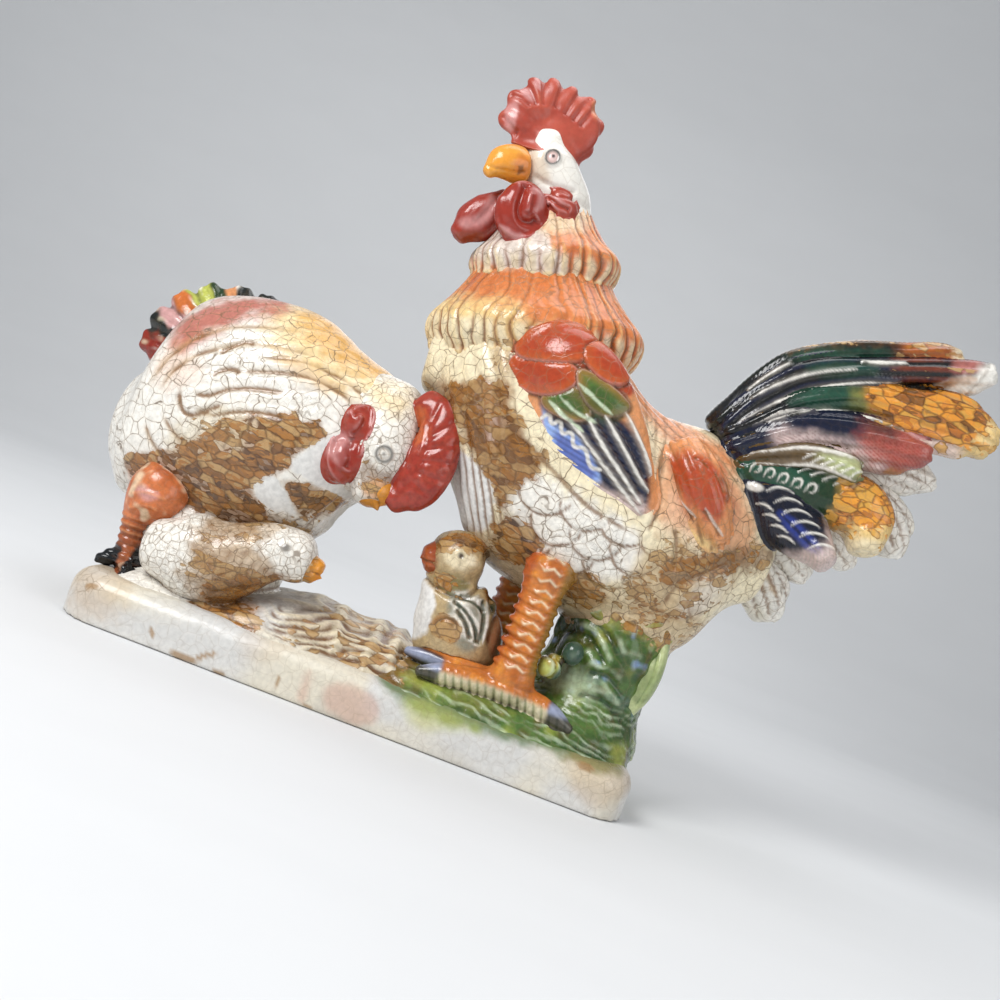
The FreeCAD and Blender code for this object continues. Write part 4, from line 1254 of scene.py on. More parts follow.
class POULTRY_OT_rooster(bpy.types.Operator):
    """Carves the rooster's breast, scaled belly and rump"""

    bl_idname = "poultry.rooster"
    bl_label = "Rooster body"

    def execute(self, context):
        c = Palette(context.scene.poultry_colours)
        skin = cast(["rooster_body"], "body_grain", 0, ["stump"], 3, ends=[(-26, 0, 152, 14)])
        skin.lift += 0.6 * skin.noise(18, 1)
        centres = [
            (62 + 17 * i + 8 * (row % 2), 112 - 9.5 * row) for row in range(3) for i in range(-1, 3)
        ]
        belly = [(30, 116), (56, 114), (84, 112), (96, 100), (90, 84), (60, 80), (40, 88), (28, 104)]
        belly = skin.patch(belly, 6)
        rims = np.zeros(skin.count)
        for x, z in sorted(centres, key=lambda place: -place[1]):
            reach = np.hypot((skin.x - x) / 10.5, (skin.z - z) / 9.0) + 0.07 * skin.noise(6, int(x + z))
            rim = bell((reach - 1.0) / 0.07) * step(3, -4, skin.z - z)
            rims = np.maximum(rims, rim)
            skin.lift += belly * (0.7 * step(1.15, 0.85, reach) * step(9, -9, skin.z - z))
        skin.lift -= 0.7 * rims * belly
        breast = skin.patch([(-26, 172), (10, 170), (26, 140), (24, 112), (0, 116), (-24, 140)], 5)
        wave = np.sin((skin.x * 0.9 + 0.45 * skin.z + 2.0 * skin.noise(12, 5)) * 0.9)
        skin.lift += 0.3 * breast * wave
        ribbed = skin.patch([(-6, 118), (12, 118), (34, 104), (32, 84), (12, 84), (-4, 100)], 3)
        ribs = np.sin((skin.x + 0.55 * skin.z + 0.8 * skin.noise(10, 6)) * 2 * math.pi / 3.4)
        skin.lift += 0.4 * ribbed * ribs
        for path, width, depth in (
            ([(10, 150), (14, 138), (22, 122), (28, 112)], 2.6, 1.1),
            ([(4, 144), (10, 130), (20, 114)], 2.4, 0.9),
            ([(-2, 138), (6, 124), (14, 112)], 2.2, 0.8),
            ([(16, 132), (30, 128), (46, 120), (62, 112), (84, 109)], 2.6, 0.9),
            ([(84, 150), (84, 136), (90, 124), (88, 110)], 2.6, 1.0),
            ([(98, 118), (102, 112), (106, 100)], 2.4, 0.9),
            ([(128, 114), (118, 104), (108, 96), (106, 84)], 3.4, 1.2),
            ([(120, 96), (116, 90), (122, 84)], 2.4, 0.8),
        ):
            skin.groove(path, width, depth)
        back = skin.patch([(56, 176), (96, 156), (126, 150), (128, 140), (96, 148), (70, 156)], 4)
        skin.lift += 0.3 * back * np.sin((skin.z + 0.55 * skin.x + skin.noise(10, 8)) * 1.6)
        skin.settle()

        skin.colour[:] = c.cream
        skin.tint(
            skin.patch([(28, 118), (56, 116), (88, 112), (90, 90), (58, 80), (34, 92)], 4, 3), c.white
        )
        skin.tint(0.8 * skin.patch([(-26, 166), (-8, 164), (0, 150), (-6, 138), (-22, 142)], 4, 3), c.cream)
        shoulder = skin.patch([(0, 178), (16, 178), (18, 150), (4, 150)], 5, 3)
        skin.tint(0.6 * shoulder, c.tan, flakes=0.35, stain=0.4)
        top = skin.patch(
            [(24, 184), (60, 176), (92, 160), (116, 156), (126, 148), (100, 150), (82, 152), (60, 160)], 5,
            2
        )
        skin.tint(0.9 * top, 0.6 * c.orange + 0.4 * c.peach, crackle=0.7)
        rump = skin.patch(
            [(82, 154), (118, 152), (136, 128), (132, 112), (112, 112), (92, 114), (84, 130)], 5, 3
        )
        skin.tint(0.7 * rump, 0.7 * c.peach + 0.3 * c.orange)
        lined = skin.patch([(58, 178), (72, 164), (90, 154), (88, 128), (74, 150)], 4, 2)
        skin.tint(0.5 * lined * step(0.3, 0.9, np.sin((skin.x + 0.2 * skin.z) * 1.4)), c.umber)
        skin.tint(0.6 * skin.patch([(88, 118), (130, 118), (130, 102), (96, 102)], 5, 3), c.cream)
        red = skin.patch([(84, 146), (96, 154), (112, 148), (124, 130), (118, 120), (100, 124)], 4, 2)
        skin.tint(0.8 * red, c.brick)
        brown = [
            (-18, 142), (-2, 140), (8, 148), (16, 146), (24, 134), (44, 122), (34, 112), (30, 98),
            (22, 106), (12, 116), (-2, 128)
        ]
        brown = skin.patch(brown, 3, 3, 5)
        skin.tint(0.85 * brown, 0.5 * c.umber + 0.5 * c.amber, flakes=0.8, crackle=0.5, stain=0.6)
        mauve = skin.patch([(2, 146), (10, 146), (22, 124), (14, 120)], 3, 2)
        skin.tint(0.5 * mauve, 0.5 * (c.pink + c.white), flakes=0.2)
        plates = skin.patch([(28, 96), (40, 102), (52, 90), (50, 80), (34, 80)], 3, 2.5)
        skin.tint(0.8 * plates, c.umber, flakes=1, crackle=0.3)
        plates = skin.patch([(64, 86), (76, 88), (84, 80), (78, 72), (66, 76)], 2.5, 2.5)
        skin.tint(0.7 * plates, 0.5 * (c.amber + c.umber), flakes=0.9)
        tail_side = skin.patch([(88, 104), (104, 114), (132, 116), (128, 92), (112, 76), (90, 84)], 5, 4)
        skin.tint(0.5 * tail_side, c.tan, flakes=0.6, stain=0.6)
        band = skin.stroke([(100, 96), (114, 106), (128, 114), (146, 122)], 11, 3, 0.1, 2)
        skin.tint(0.7 * band, c.umber, flakes=0.6)
        skin.tint(
            0.6 * skin.patch([(120, 104), (130, 110), (128, 92), (118, 84), (112, 88)], 3, 2), c.white
        )
        white = skin.patch([(4, 116), (14, 114), (26, 106), (30, 88), (14, 82), (2, 96)], 1.2, 1.5, 3)
        skin.tint(white, c.bare, crackle=0, flakes=0, shine=0.12, stain=0)
        skin.tint(0.3 * white * step(0, 0.25, -skin.crest), c.slate)
        skin.tint(0.55 * rims * belly * step(-0.6, 0.6, skin.noise(9, 11)), c.umber)
        low = step(92, 80, skin.z)
        skin.tint(0.4 * low, c.tan, flakes=0.5, stain=0.5)
        skin.tint(0.5 * skin.stroke([(-21, 140), (-14, 137), (-6, 131)], 5, 1.5), c.umber, flakes=0.5)
        weather(skin, c, 0.45)
        material = glaze_material("rooster_glaze", "cream crackle glaze with brown stain", 0.95, 0.8, 0.14)
        fire(skin, "rooster_figure", material, ["rooster_body"])
        return {"FINISHED"}


def grown(outline, share):
    """The outline, larger by the share about its middle."""
    points = np.array(outline, float)
    middle = points.mean(axis=0)
    return middle + (points - middle) * share


class POULTRY_OT_wings(bpy.types.Operator):
    """Carves the folded wings: red scales, a green band and blue primaries"""

    bl_idname = "poultry.wings"
    bl_label = "Wings"

    def execute(self, context):
        c = Palette(context.scene.poultry_colours)
        material = glaze_material("wing_glaze", "red, green and blue feather glazes", 0.8, 0.5)
        for side, grain in (("near", "face_grain"), ("far", "plume_grain")):
            node = f"rooster_wing_{side}"
            skin = cast([node], grain, 0, ["rooster_body", "rooster_hackle_lower"], 4)
            gaps = skin.plates([grown(outline, 1.13) for outline in SCALES], 0.8, 1.2, 0.35)
            for path in PRIMARIES:
                skin.groove(path, 2.2, -1.3, 0.1)
            between = (
                [(58, 149), (68, 141), (79, 131)],
                [(52, 146), (62, 137), (80, 124)],
                [(42, 142), (54, 134), (68, 126), (82, 119)],
            )
            for path in between:
                skin.groove(path, 1.8, 0.9, 0.1)
            barb = np.sin((skin.x * 0.2 + skin.z * 0.98) * 2.0 * math.pi / 1.9)
            lower = skin.patch([(32, 146), (62, 152), (82, 134), (86, 114), (60, 118), (40, 128)], 2)
            skin.lift += 0.18 * barb * lower
            skin.settle()
            skin.coat(c.peach, crackle=0.6)
            shoulder = [
                (11, 149), (12, 168), (28, 181), (45, 180), (57, 178), (63, 168), (64, 158), (36, 147),
                (20, 146)
            ]
            skin.tint(skin.patch(shoulder, 1.5, 0.8), c.brick)
            skin.tint(lower, c.navy, crackle=0.1)
            light = skin.patch(
                [(30, 147), (36, 138), (46, 138), (58, 130), (64, 124), (60, 116), (44, 124), (34, 134)],
                1.5, 1
            )
            skin.tint(light, c.sky, crackle=0.2)
            clear = skin.patch([(38, 136), (47, 136), (58, 129), (62, 124), (52, 122), (42, 128)], 2, 1)
            skin.tint(0.75 * clear, c.blue)
            left = skin.patch(
                [(6, 160), (14, 146), (26, 142), (40, 127), (54, 118), (50, 112), (20, 130), (2, 150)], 2, 1
            )
            skin.tint(0.8 * left, 0.5 * (c.cream + c.tan), flakes=0.4, stain=0.3)
            tip = skin.patch([(58, 122), (70, 122), (84, 124), (88, 112), (66, 112)], 2.5, 1.5)
            skin.tint(0.85 * tip, 0.5 * (c.pink + c.white), crackle=0.7)
            zig = skin.stroke(
                [
                    (32, 138), (35, 142), (37, 137), (40, 141), (42, 135), (46, 138), (48, 132), (53, 134),
                    (57, 127), (62, 128)
                ],
                1.5, 0.4, 0.02
            )
            skin.tint(0.9 * zig, c.white)
            for gap, colour in zip(gaps, (c.brick, c.brick, c.leaf, c.brick, c.leaf)):
                inside = step(0.3, -0.6, gap)
                skin.tint(inside, colour, crackle=0.55)
                skin.tint(0.35 * inside * step(-5.5, -1, gap), c.orange)
                # Painted highlight: pink just inside the lower scale edges.
                skin.tint(0.5 * bell((gap + 0.6) / 0.45) * step(166, 158, skin.z), c.pink)
                skin.tint(0.6 * bell((gap - 0.5) / 0.7), c.coffee)
            green = skin.patch([(40, 155), (54, 157), (66, 154), (60, 147), (46, 143), (34, 146)], 3, 2)
            skin.tint(0.6 * green, 0.6 * c.moss + 0.4 * c.leaf)
            for path in PRIMARIES:
                skin.tint(0.5 * skin.stroke(path, 3, 0.9, 0.15, 0.25), c.slate)
                skin.tint(0.95 * skin.stroke(path, 1.2, 0.4, 0.2, 0.25), c.white)
            for path in (
                [(33, 146), (42, 142), (50, 139)], [(36, 149), (44, 145), (54, 144)],
                [(41, 156), (50, 152), (58, 149)]
            ):
                skin.tint(0.85 * skin.stroke(path, 1.3, 0.4, 0.2, 0.3), c.mint)
            skin.tint(0.5 * step(0.06, 0.3, -skin.crest), c.coffee)
            fire(skin, f"rooster_wing_feathers_{side}", material, [node])
        return {"FINISHED"}


class POULTRY_OT_saddles(bpy.types.Operator):
    """Carves the long red saddle feathers behind the wings"""

    bl_idname = "poultry.saddles"
    bl_label = "Saddle feathers"

    def execute(self, context):
        c = Palette(context.scene.poultry_colours)
        material = glaze_material("saddle_glaze", "red-orange glaze edged with cream", 0.9, 0.6)
        for side in ("near", "far"):
            node = f"rooster_saddle_{side}"
            skin = cast([node], "plume_grain", 0, ["rooster_body"], 4)
            for path, width, depth in (
                ([(88, 132), (95, 127), (104, 123)], 2.0, 1.3),
                ([(106, 128), (111, 124), (117, 120)], 1.8, 1.0),
                ([(95, 147), (102, 145), (108, 142), (112, 137)], 1.8, 0.8),
            ):
                skin.groove(path, width, depth, 0.1)
            skin.lift += 0.2 * np.sin((skin.x + 0.8 * skin.z) * 1.5)
            skin.settle()
            skin.coat(c.peach, crackle=0.8)
            red = skin.patch(
                [(86, 143), (96, 151), (108, 145), (116, 132), (113, 124), (98, 129), (88, 136)], 3, 1.5
            )
            skin.tint(0.95 * red, c.brick, crackle=0.6)
            edge = skin.patch([(86, 134), (90, 128), (102, 121), (120, 117), (118, 112), (90, 118)], 3, 1.5)
            skin.tint(0.8 * edge, c.straw)
            skin.tint(0.9 * skin.stroke([(90, 130), (97, 126), (105, 122.5)], 1.3, 0.4, 0.2), c.coffee)
            skin.tint(0.9 * skin.stroke([(89, 132), (96, 128), (105, 124)], 1.1, 0.4, 0.2), c.white)
            skin.tint(0.7 * skin.stroke([(106, 129), (111, 125), (118, 121)], 1.2, 0.4, 0.2), c.white)
            skin.tint(0.6 * skin.stroke([(108, 143), (112, 140), (114, 134)], 1.6, 0.5, 0.2), c.coffee)
            weather(skin, c, 0.3)
            fire(skin, f"rooster_saddle_feather_{side}", material, [node])
        return {"FINISHED"}


class POULTRY_OT_hackles(bpy.types.Operator):
    """Carves the two tiers of narrow neck feathers"""

    bl_idname = "poultry.hackles"
    bl_label = "Hackles"

    def execute(self, context):
        c = Palette(context.scene.poultry_colours)
        tiers = (
            ("rooster_hackle_lower", (18.0, 174.0), 14.0, 40, ["rooster_body"], 33.0),
            (
                "rooster_hackle_upper", (11.0, 204.0), 18.0, 30, ["rooster_hackle_lower", "rooster_body"],
                30.0
            ),
        )
        for node, centre, lean, count, carriers, tall in tiers:
            skin = cast([node], "plume_grain", 0, carriers, 2)
            turn = math.radians(lean)
            dx, dz = skin.x - centre[0], skin.z - centre[1]
            up = dz * math.cos(turn) - dx * math.sin(turn)
            out = dx * math.cos(turn) + dz * math.sin(turn)
            angle = np.arctan2(skin.y * 1.15, out)
            angle = angle + 0.10 * skin.noise(14, 1) + 0.03 * skin.noise(5, 2)
            wave = np.abs(np.sin(0.5 * count * angle))
            lip = step(9, -4, up)
            front = step(0.35, 0.9, -np.sin(angle)) * step(0.75, 0.3, np.cos(angle))
            ribbed = 1.0 - 0.75 * front * (1.0 - 0.5 * lip)
            skin.lift += 1.5 * ribbed * (0.6 + 0.6 * lip) * (wave**0.6 - 0.6)
            fine = np.sin(1.5 * count * angle + 1.3)
            skin.lift += 0.14 * fine
            skin.lift += 0.8 * lip * np.sin(0.25 * count * angle + 0.8)
            skin.settle()
            skin.coat(0.35 * c.peach + 0.65 * c.orange, crackle=0.7)
            skin.tint(0.7 * step(0.35 * tall, 0.8 * tall, up), c.orange)
            skin.tint(0.35 * step(0, 0.9, skin.noise(10, 4)), c.orange)
            skin.tint(0.4 * step(0.2, 0.9, skin.noise(7, 6)), c.brick)
            if node.endswith("lower"):
                pale = skin.patch(
                    [(-30, 178), (-16, 174), (2, 180), (18, 174), (12, 158), (-30, 150)], 6, 3
                )
                skin.tint(0.85 * pale, c.straw)
                pale = skin.patch([(-30, 168), (-14, 166), (0, 170), (4, 158), (-30, 148)], 5, 3)
                skin.tint(0.85 * pale, c.cream, crackle=1)
                brown = skin.patch([(-4, 172), (14, 176), (16, 160), (2, 158)], 4, 3)
                skin.tint(0.35 * brown, c.amber, flakes=0.5)
                skin.tint(
                    0.5 * skin.patch([(-16, 200), (4, 206), (8, 196), (-14, 190)], 3, 2), c.cream,
                    flakes=0.3
                )
            else:
                ruff = skin.patch(
                    [(-30, 212), (-12, 214), (2, 216), (14, 206), (22, 200), (6, 192), (-30, 194)], 3, 2.5
                )
                skin.tint(0.85 * ruff, c.white, stain=0.35, crackle=0.9)
                skin.tint(
                    0.7 * skin.patch([(4, 228), (18, 232), (24, 222), (12, 212), (2, 214)], 4, 2), c.cream
                )
            tips = step(2, -3, up) * step(0.45, 0.9, wave)
            skin.tint(0.8 * tips, c.cream)
            skin.tint(0.8 * ribbed * step(0.5, 0.12, wave), 0.4 * c.brick + 0.4 * c.umber)
            skin.tint(0.5 * step(0.08, 0.3, skin.crest), c.straw)
            weather(skin, c, 0.3)
            material = glaze_material(f"{node[8:]}_glaze", "orange hackle glaze", 0.95, 0.7)
            fire(skin, f"{node}_feathers", material, [node])
        return {"FINISHED"}


class POULTRY_OT_rooster_face(bpy.types.Operator):
    """Carves the rooster's white head, eye and ochre beak"""

    bl_idname = "poultry.rooster_face"
    bl_label = "Rooster head"

    def execute(self, context):
        c = Palette(context.scene.poultry_colours)
        skin = cast(["rooster_head"], "face_grain", 0, ["rooster_hackle_upper"], 2.5)
        eye = np.hypot((skin.x + 2.0) / 0.92, skin.z - 244.4)
        side = step(0.25, 0.5, np.abs(skin.normals[:, 1]))
        skin.lift += side * (0.8 * bell((eye - 3.3) / 0.8) + 0.5 * bell(eye / 1.6))
        skin.lift += 0.25 * skin.noise(8, 1)
        skin.groove([(-8, 236), (-2, 233), (8, 234), (14, 236)], 2.4, 0.8)
        skin.groove([(10, 226), (14, 232), (21, 232)], 3, 0.6)
        skin.settle()
        skin.coat(c.white, crackle=0.35)
        below = skin.patch([(-12, 246), (-6, 246), (-3, 239), (2, 234), (-8, 233), (-13, 238)], 2, 1)
        skin.tint(0.45 * below, c.tan)
        skin.tint(0.4 * skin.patch([(-22, 250), (-10, 249), (-12, 242), (-20, 244)], 2, 1), c.cream)
        skin.tint(side * step(3, 2.2, eye), 0.6 * c.pink + 0.4 * c.white, crackle=0)
        skin.tint(0.92 * side * bell((eye - 2.95) / 0.55), c.ink, crackle=0)
        pupil = np.hypot((skin.x + 1.8) / 0.75, (skin.z - 244.9) / 1.0)
        skin.tint(0.9 * side * step(1.15, 0.6, pupil), c.ink, crackle=0)
        weather(skin, c, 0.2)
        material = glaze_material("rooster_face_glaze", "smooth white glaze", 0.8, 0.45, 0.05)
        fire(skin, "rooster_face", material, ["rooster_head"])

        skin = cast(["rooster_beak"], "face_grain", 0, ["rooster_head"], 3, blunt=2.6)
        skin.groove([(-27, 230), (-21, 230.5), (-14, 232), (-9, 235)], 1.4, 0.4, 0.2)
        skin.lift += 0.2 * skin.noise(5, 2)
        skin.settle()
        skin.coat(c.beak, crackle=0.1)
        skin.tint(0.5 * skin.patch([(-26, 246), (-12, 246), (-8, 240), (-16, 240)], 1.5, 1), c.peach)
        skin.tint(0.55 * step(-0.1, 0.8, skin.noise(5, 3)), c.gold)
        skin.tint(0.6 * skin.oval((-12.5, 236), (4, 4), 30, 0.35, 0.3), c.orange)
        specks = skin.oval((-14, 232.5), (4.5, 2.4), 30, 0.3, 0.3) * step(-0.1, 0.4, skin.noise(1.8, 4))
        skin.tint(0.8 * specks, c.umber)
        skin.tint(
            0.4 * skin.patch([(-28, 234), (-22, 231), (-16, 228), (-24, 224), (-30, 230)], 2, 1), c.gold
        )
        weather(skin, c, 0.3)
        material = glaze_material("rooster_beak_glaze", "orange-ochre beak", 0.6, 0.3, 0.08)
        fire(skin, "rooster_beak_pair", material, ["rooster_beak"])
        return {"FINISHED"}


class POULTRY_OT_rooster_flesh(bpy.types.Operator):
    """Carves the comb, both wattles and the earlobe"""

    bl_idname = "poultry.rooster_flesh"
    bl_label = "Comb and wattles"

    def execute(self, context):
        c = Palette(context.scene.poultry_colours)
        skin = cast(["rooster_comb"], "face_grain", 0, ["rooster_head", "rooster_beak"], 3, blunt=-3)
        grooves = (
            [(-29, 264), (-23, 264), (-18, 262)],
            [(-26, 273), (-20, 268), (-16, 263)],
            [(-18, 279), (-16, 271), (-13, 264)],
            [(-8.5, 281), (-9, 272), (-8.5, 265)],
            [(-0.5, 280), (-3, 271), (-4, 264)],
            [(3.5, 278), (1.5, 269), (0, 263)],
            [(8, 278), (6, 269), (3.5, 262)],
            [(-29, 255), (-24, 251), (-19, 249)],
        )
        for path in grooves:
            skin.groove(path, 2.4, 1, 0.2)
        skin.lift += 0.25 * skin.noise(5, 1)
        skin.settle()
        skin.coat(c.comb_red, crackle=0.1, shine=0.62)
        skin.tint(0.4 * step(-0.2, 0.8, skin.noise(7, 2)), c.deep_red)
        skin.tint(0.45 * step(0.08, 0.4, skin.crest), 0.6 * c.comb_red + 0.4 * c.peach)
        skin.tint(0.55 * step(0.05, 0.35, -skin.crest), 0.5 * c.deep_red)
        # Painted highlights: pink streaks on the left lobes of the comb.
        for centre, radii, turn in (
            ((-25, 256), (2.8, 6.5), 12), ((-22.5, 267.5), (4.2, 1.8), -32), ((-19, 272.5), (3.4, 1.2), -50)
        ):
            skin.tint(0.6 * skin.oval(centre, radii, turn, 0.35, 0.25), c.pink, shine=0.9)
        # Painted highlight: a peach spot on the right lobe.
        skin.tint(0.45 * skin.oval((7.5, 273), (2, 4), 20, 0.4, 0.2), c.peach)
        material = glaze_material("comb_glaze", "terracotta red glaze", 0.8, 0.2, 0.08)
        fire(skin, "rooster_comb_fan", material, ["rooster_comb"])

        skin = cast(["rooster_wattle_near"], "face_grain", 0, ["rooster_head", "rooster_hackle_upper"], 2)
        skin.groove([(-8, 229), (-7.5, 223), (-7, 217), (-4.5, 213), (0, 213.5), (2, 217)], 3, 2.2, 0.08)
        skin.groove([(-4.5, 226), (-3.5, 220), (-3, 217)], 2.2, -0.9, 0.2)
        skin.groove([(-16, 222), (-14.5, 211), (-9, 207), (-1, 207), (4, 212)], 2.2, -0.8, 0.2)
        skin.settle()
        skin.coat(0.75 * c.deep_red + 0.25 * c.comb_red, crackle=0.0)
        skin.tint(0.4 * step(0.08, 0.4, skin.crest), c.pink)
        skin.tint(0.6 * step(0.05, 0.4, -skin.crest), 0.45 * c.deep_red)
        skin.tint(0.6 * skin.stroke([(-14, 227.5), (-10, 231), (-7, 231)], 3.4, 1, 0.3), c.pink)
        skin.tint(0.5 * skin.stroke([(-5.5, 227), (-1, 228), (1, 224), (0, 219)], 3, 1.2, 0.3), c.pink)
        skin.tint(0.6 * skin.stroke([(-12, 209), (-6, 206.5), (0, 208)], 2.6, 0.9, 0.3, 0.6), c.pink)
        material = glaze_material("wattle_glaze", "thick glossy dark red glaze", 0.8, 0.1, 0.1)
        fire(skin, "rooster_wattle_curl", material, ["rooster_wattle_near"])

        carriers = ["rooster_head", "rooster_hackle_upper", "rooster_beak", "rooster_wattle_near"]
        skin = cast(["rooster_wattle_far"], "face_grain", 0, carriers, 2)
        skin.groove([(-18, 224), (-19, 214), (-24, 206)], 3.2, 0.9)
        skin.groove([(-24, 222), (-28, 212), (-31, 204)], 3, -0.5)
        skin.settle()
        skin.coat(0.7 * c.deep_red + 0.3 * c.comb_red, crackle=0.0)
        # Painted highlight: a pink patch across the drop of the wattle.
        painted_highlight = skin.patch(
            [(-21, 224), (-17, 218), (-17, 208), (-28, 203), (-30, 207), (-22, 212)], 1.5, 0.6
        )
        skin.tint(0.55 * painted_highlight, c.pink)
        skin.tint(
            0.6 * skin.patch([(-31, 202), (-24, 204), (-17, 206), (-18, 198), (-28, 196)], 1.5, 1),
            0.5 * (c.deep_red + c.umber)
        )
        skin.tint(0.4 * step(0.05, 0.3, skin.crest), c.pink)
        fire(skin, "rooster_wattle_drop", material, ["rooster_wattle_far"])

        skin = cast(["rooster_earlobe"], "face_grain", 0, ["rooster_head", "rooster_hackle_upper"], 2)
        for path in (
            [(0, 231), (6, 230), (14, 232)], [(1, 228.5), (7, 226), (13, 226)], [(3, 225), (8, 222)]
        ):
            skin.groove(path, 1.8, 1.1, 0.1)
        skin.settle()
        skin.coat(0.6 * c.comb_red + 0.4 * c.deep_red, crackle=0.0)
        skin.tint(0.7 * step(0.05, 0.3, skin.crest), c.pink)
        skin.tint(0.7 * step(0.05, 0.3, -skin.crest), 0.5 * c.deep_red)
        fire(skin, "rooster_earlobe_folds", material, ["rooster_earlobe"])
        return {"FINISHED"}


class POULTRY_OT_rooster_legs(bpy.types.Operator):
    """Carves the scaled orange legs and the long clawed toes"""

    bl_idname = "poultry.rooster_legs"
    bl_label = "Rooster legs"

    def execute(self, context):
        c = Palette(context.scene.poultry_colours)
        material = glaze_material("leg_glaze", "orange scutes edged with cream", 0.6, 0.35, 0.14)
        for side, middle in (("near", 58.0), ("far", 50.0)):
            nodes = [f"rooster_leg_{side}", f"rooster_foot_{side}"]
            carriers = ["grass_mound", "stump", "rooster_body", "plinth"]
            skin = cast(nodes, "face_grain" if side == "near" else "plume_grain", 2.5, carriers, 1.5)
            shin = step(39, 43, skin.z)
            saw = np.abs(((skin.x - middle + 60.0) / 3.2) % 2.0 - 1.0)
            zig = (skin.z - 41.0 + 1.7 * saw) % 4.6 - 2.3
            skin.lift += 0.5 * shin * bell(zig / 0.9)
            toe_scales = np.sin(skin.x * 2.0 * math.pi / 3.4 + 0.6 * skin.z)
            between_claws = step(29, 33, skin.x) * step(79, 75, skin.x)
            skin.lift += 0.3 * (1.0 - shin) * toe_scales * step(36, 31, skin.z) * between_claws
            skin.groove([(24, 35), (40, 36), (58, 35), (76, 36)], 1.8, 0.5)
            skin.settle()
            skin.coat(0.6 * c.orange + 0.25 * c.amber + 0.15 * c.beak, crackle=0.35)
            skin.tint(0.5 * step(-0.1, 0.8, skin.noise(6, 3)), 0.5 * (c.brick + c.umber))
            skin.tint(0.5 * step(0.1, 0.8, skin.noise(4, 5)), c.beak)
            core = step(5, 3, np.abs(skin.x - middle - 0.5))
            skin.tint(0.75 * shin * core * bell(zig / 0.55), c.cream)
            skin.tint(0.5 * shin * step(0.08, 0.3, -skin.crest), c.brick)
            right = shin * step(middle + 4.5, middle + 7.5, skin.x)
            skin.tint(0.7 * right, 0.5 * (c.leaf + c.amber))
            left = shin * step(middle - 5, middle - 8, skin.x)
            skin.tint(0.6 * left, c.brick)
            belly = (1.0 - shin) * step(34, 31, skin.z + 0.03 * np.abs(skin.x - middle) * 2)
            skin.tint(0.8 * belly, 0.5 * (c.mint + c.cream))
            skin.tint(0.5 * belly * step(0.2, 0.9, -toe_scales), c.leaf)
            for x0, x1 in ((8.0, 31.5), (77.0, 96.0)):
                claw = step(x0 - 1.5, x0 + 1, skin.x) * step(x1 + 1, x1 - 2, skin.x) * (1.0 - shin)
                claw = claw * step(36.5, 34.5, skin.z)
                skin.tint(0.9 * claw, c.ink, crackle=0)
                # Painted highlight: a blue-grey streak along each claw.
                teal_patch_and_claw_highlight = claw * step(29, 31.5, skin.z) * step(35, 33, skin.z)
                skin.tint(0.8 * teal_patch_and_claw_highlight, 0.5 * (c.sky + c.slate))
            skin.tint(0.6 * (1 - shin) * step(0.06, 0.3, -skin.crest), c.coffee)
            fire(skin, f"rooster_leg_and_foot_{side}", material, nodes)
        return {"FINISHED"}


# Tail
def plume_frame(skin, spine):
    """Distance from a plume's quill, signed, and the length along it, in millimetres."""
    path = rounded_path(spine)
    length = np.hypot(*(path[1:] - path[:-1]).T).sum()
    gap, share, side = from_path(skin.x, skin.z, path)
    return gap * side, share * length


def barbs(skin, across, along, pitch, slope, depth):
    """Slanting barbs on both sides of a quill; returns their wave."""
    wave = np.sin((along - slope * np.abs(across) + 0.8 * skin.noise(8, 12)) * 2 * math.pi / pitch)
    skin.lift += depth * wave
    return wave


NEAR_PLUMES = (
    "tail_sickle_top",
    "tail_sickle_second",
    "tail_plume_gold",
    "tail_plume_blue",
    "tail_plume_slim",
    "tail_plume_round",
    "tail_covert",
)


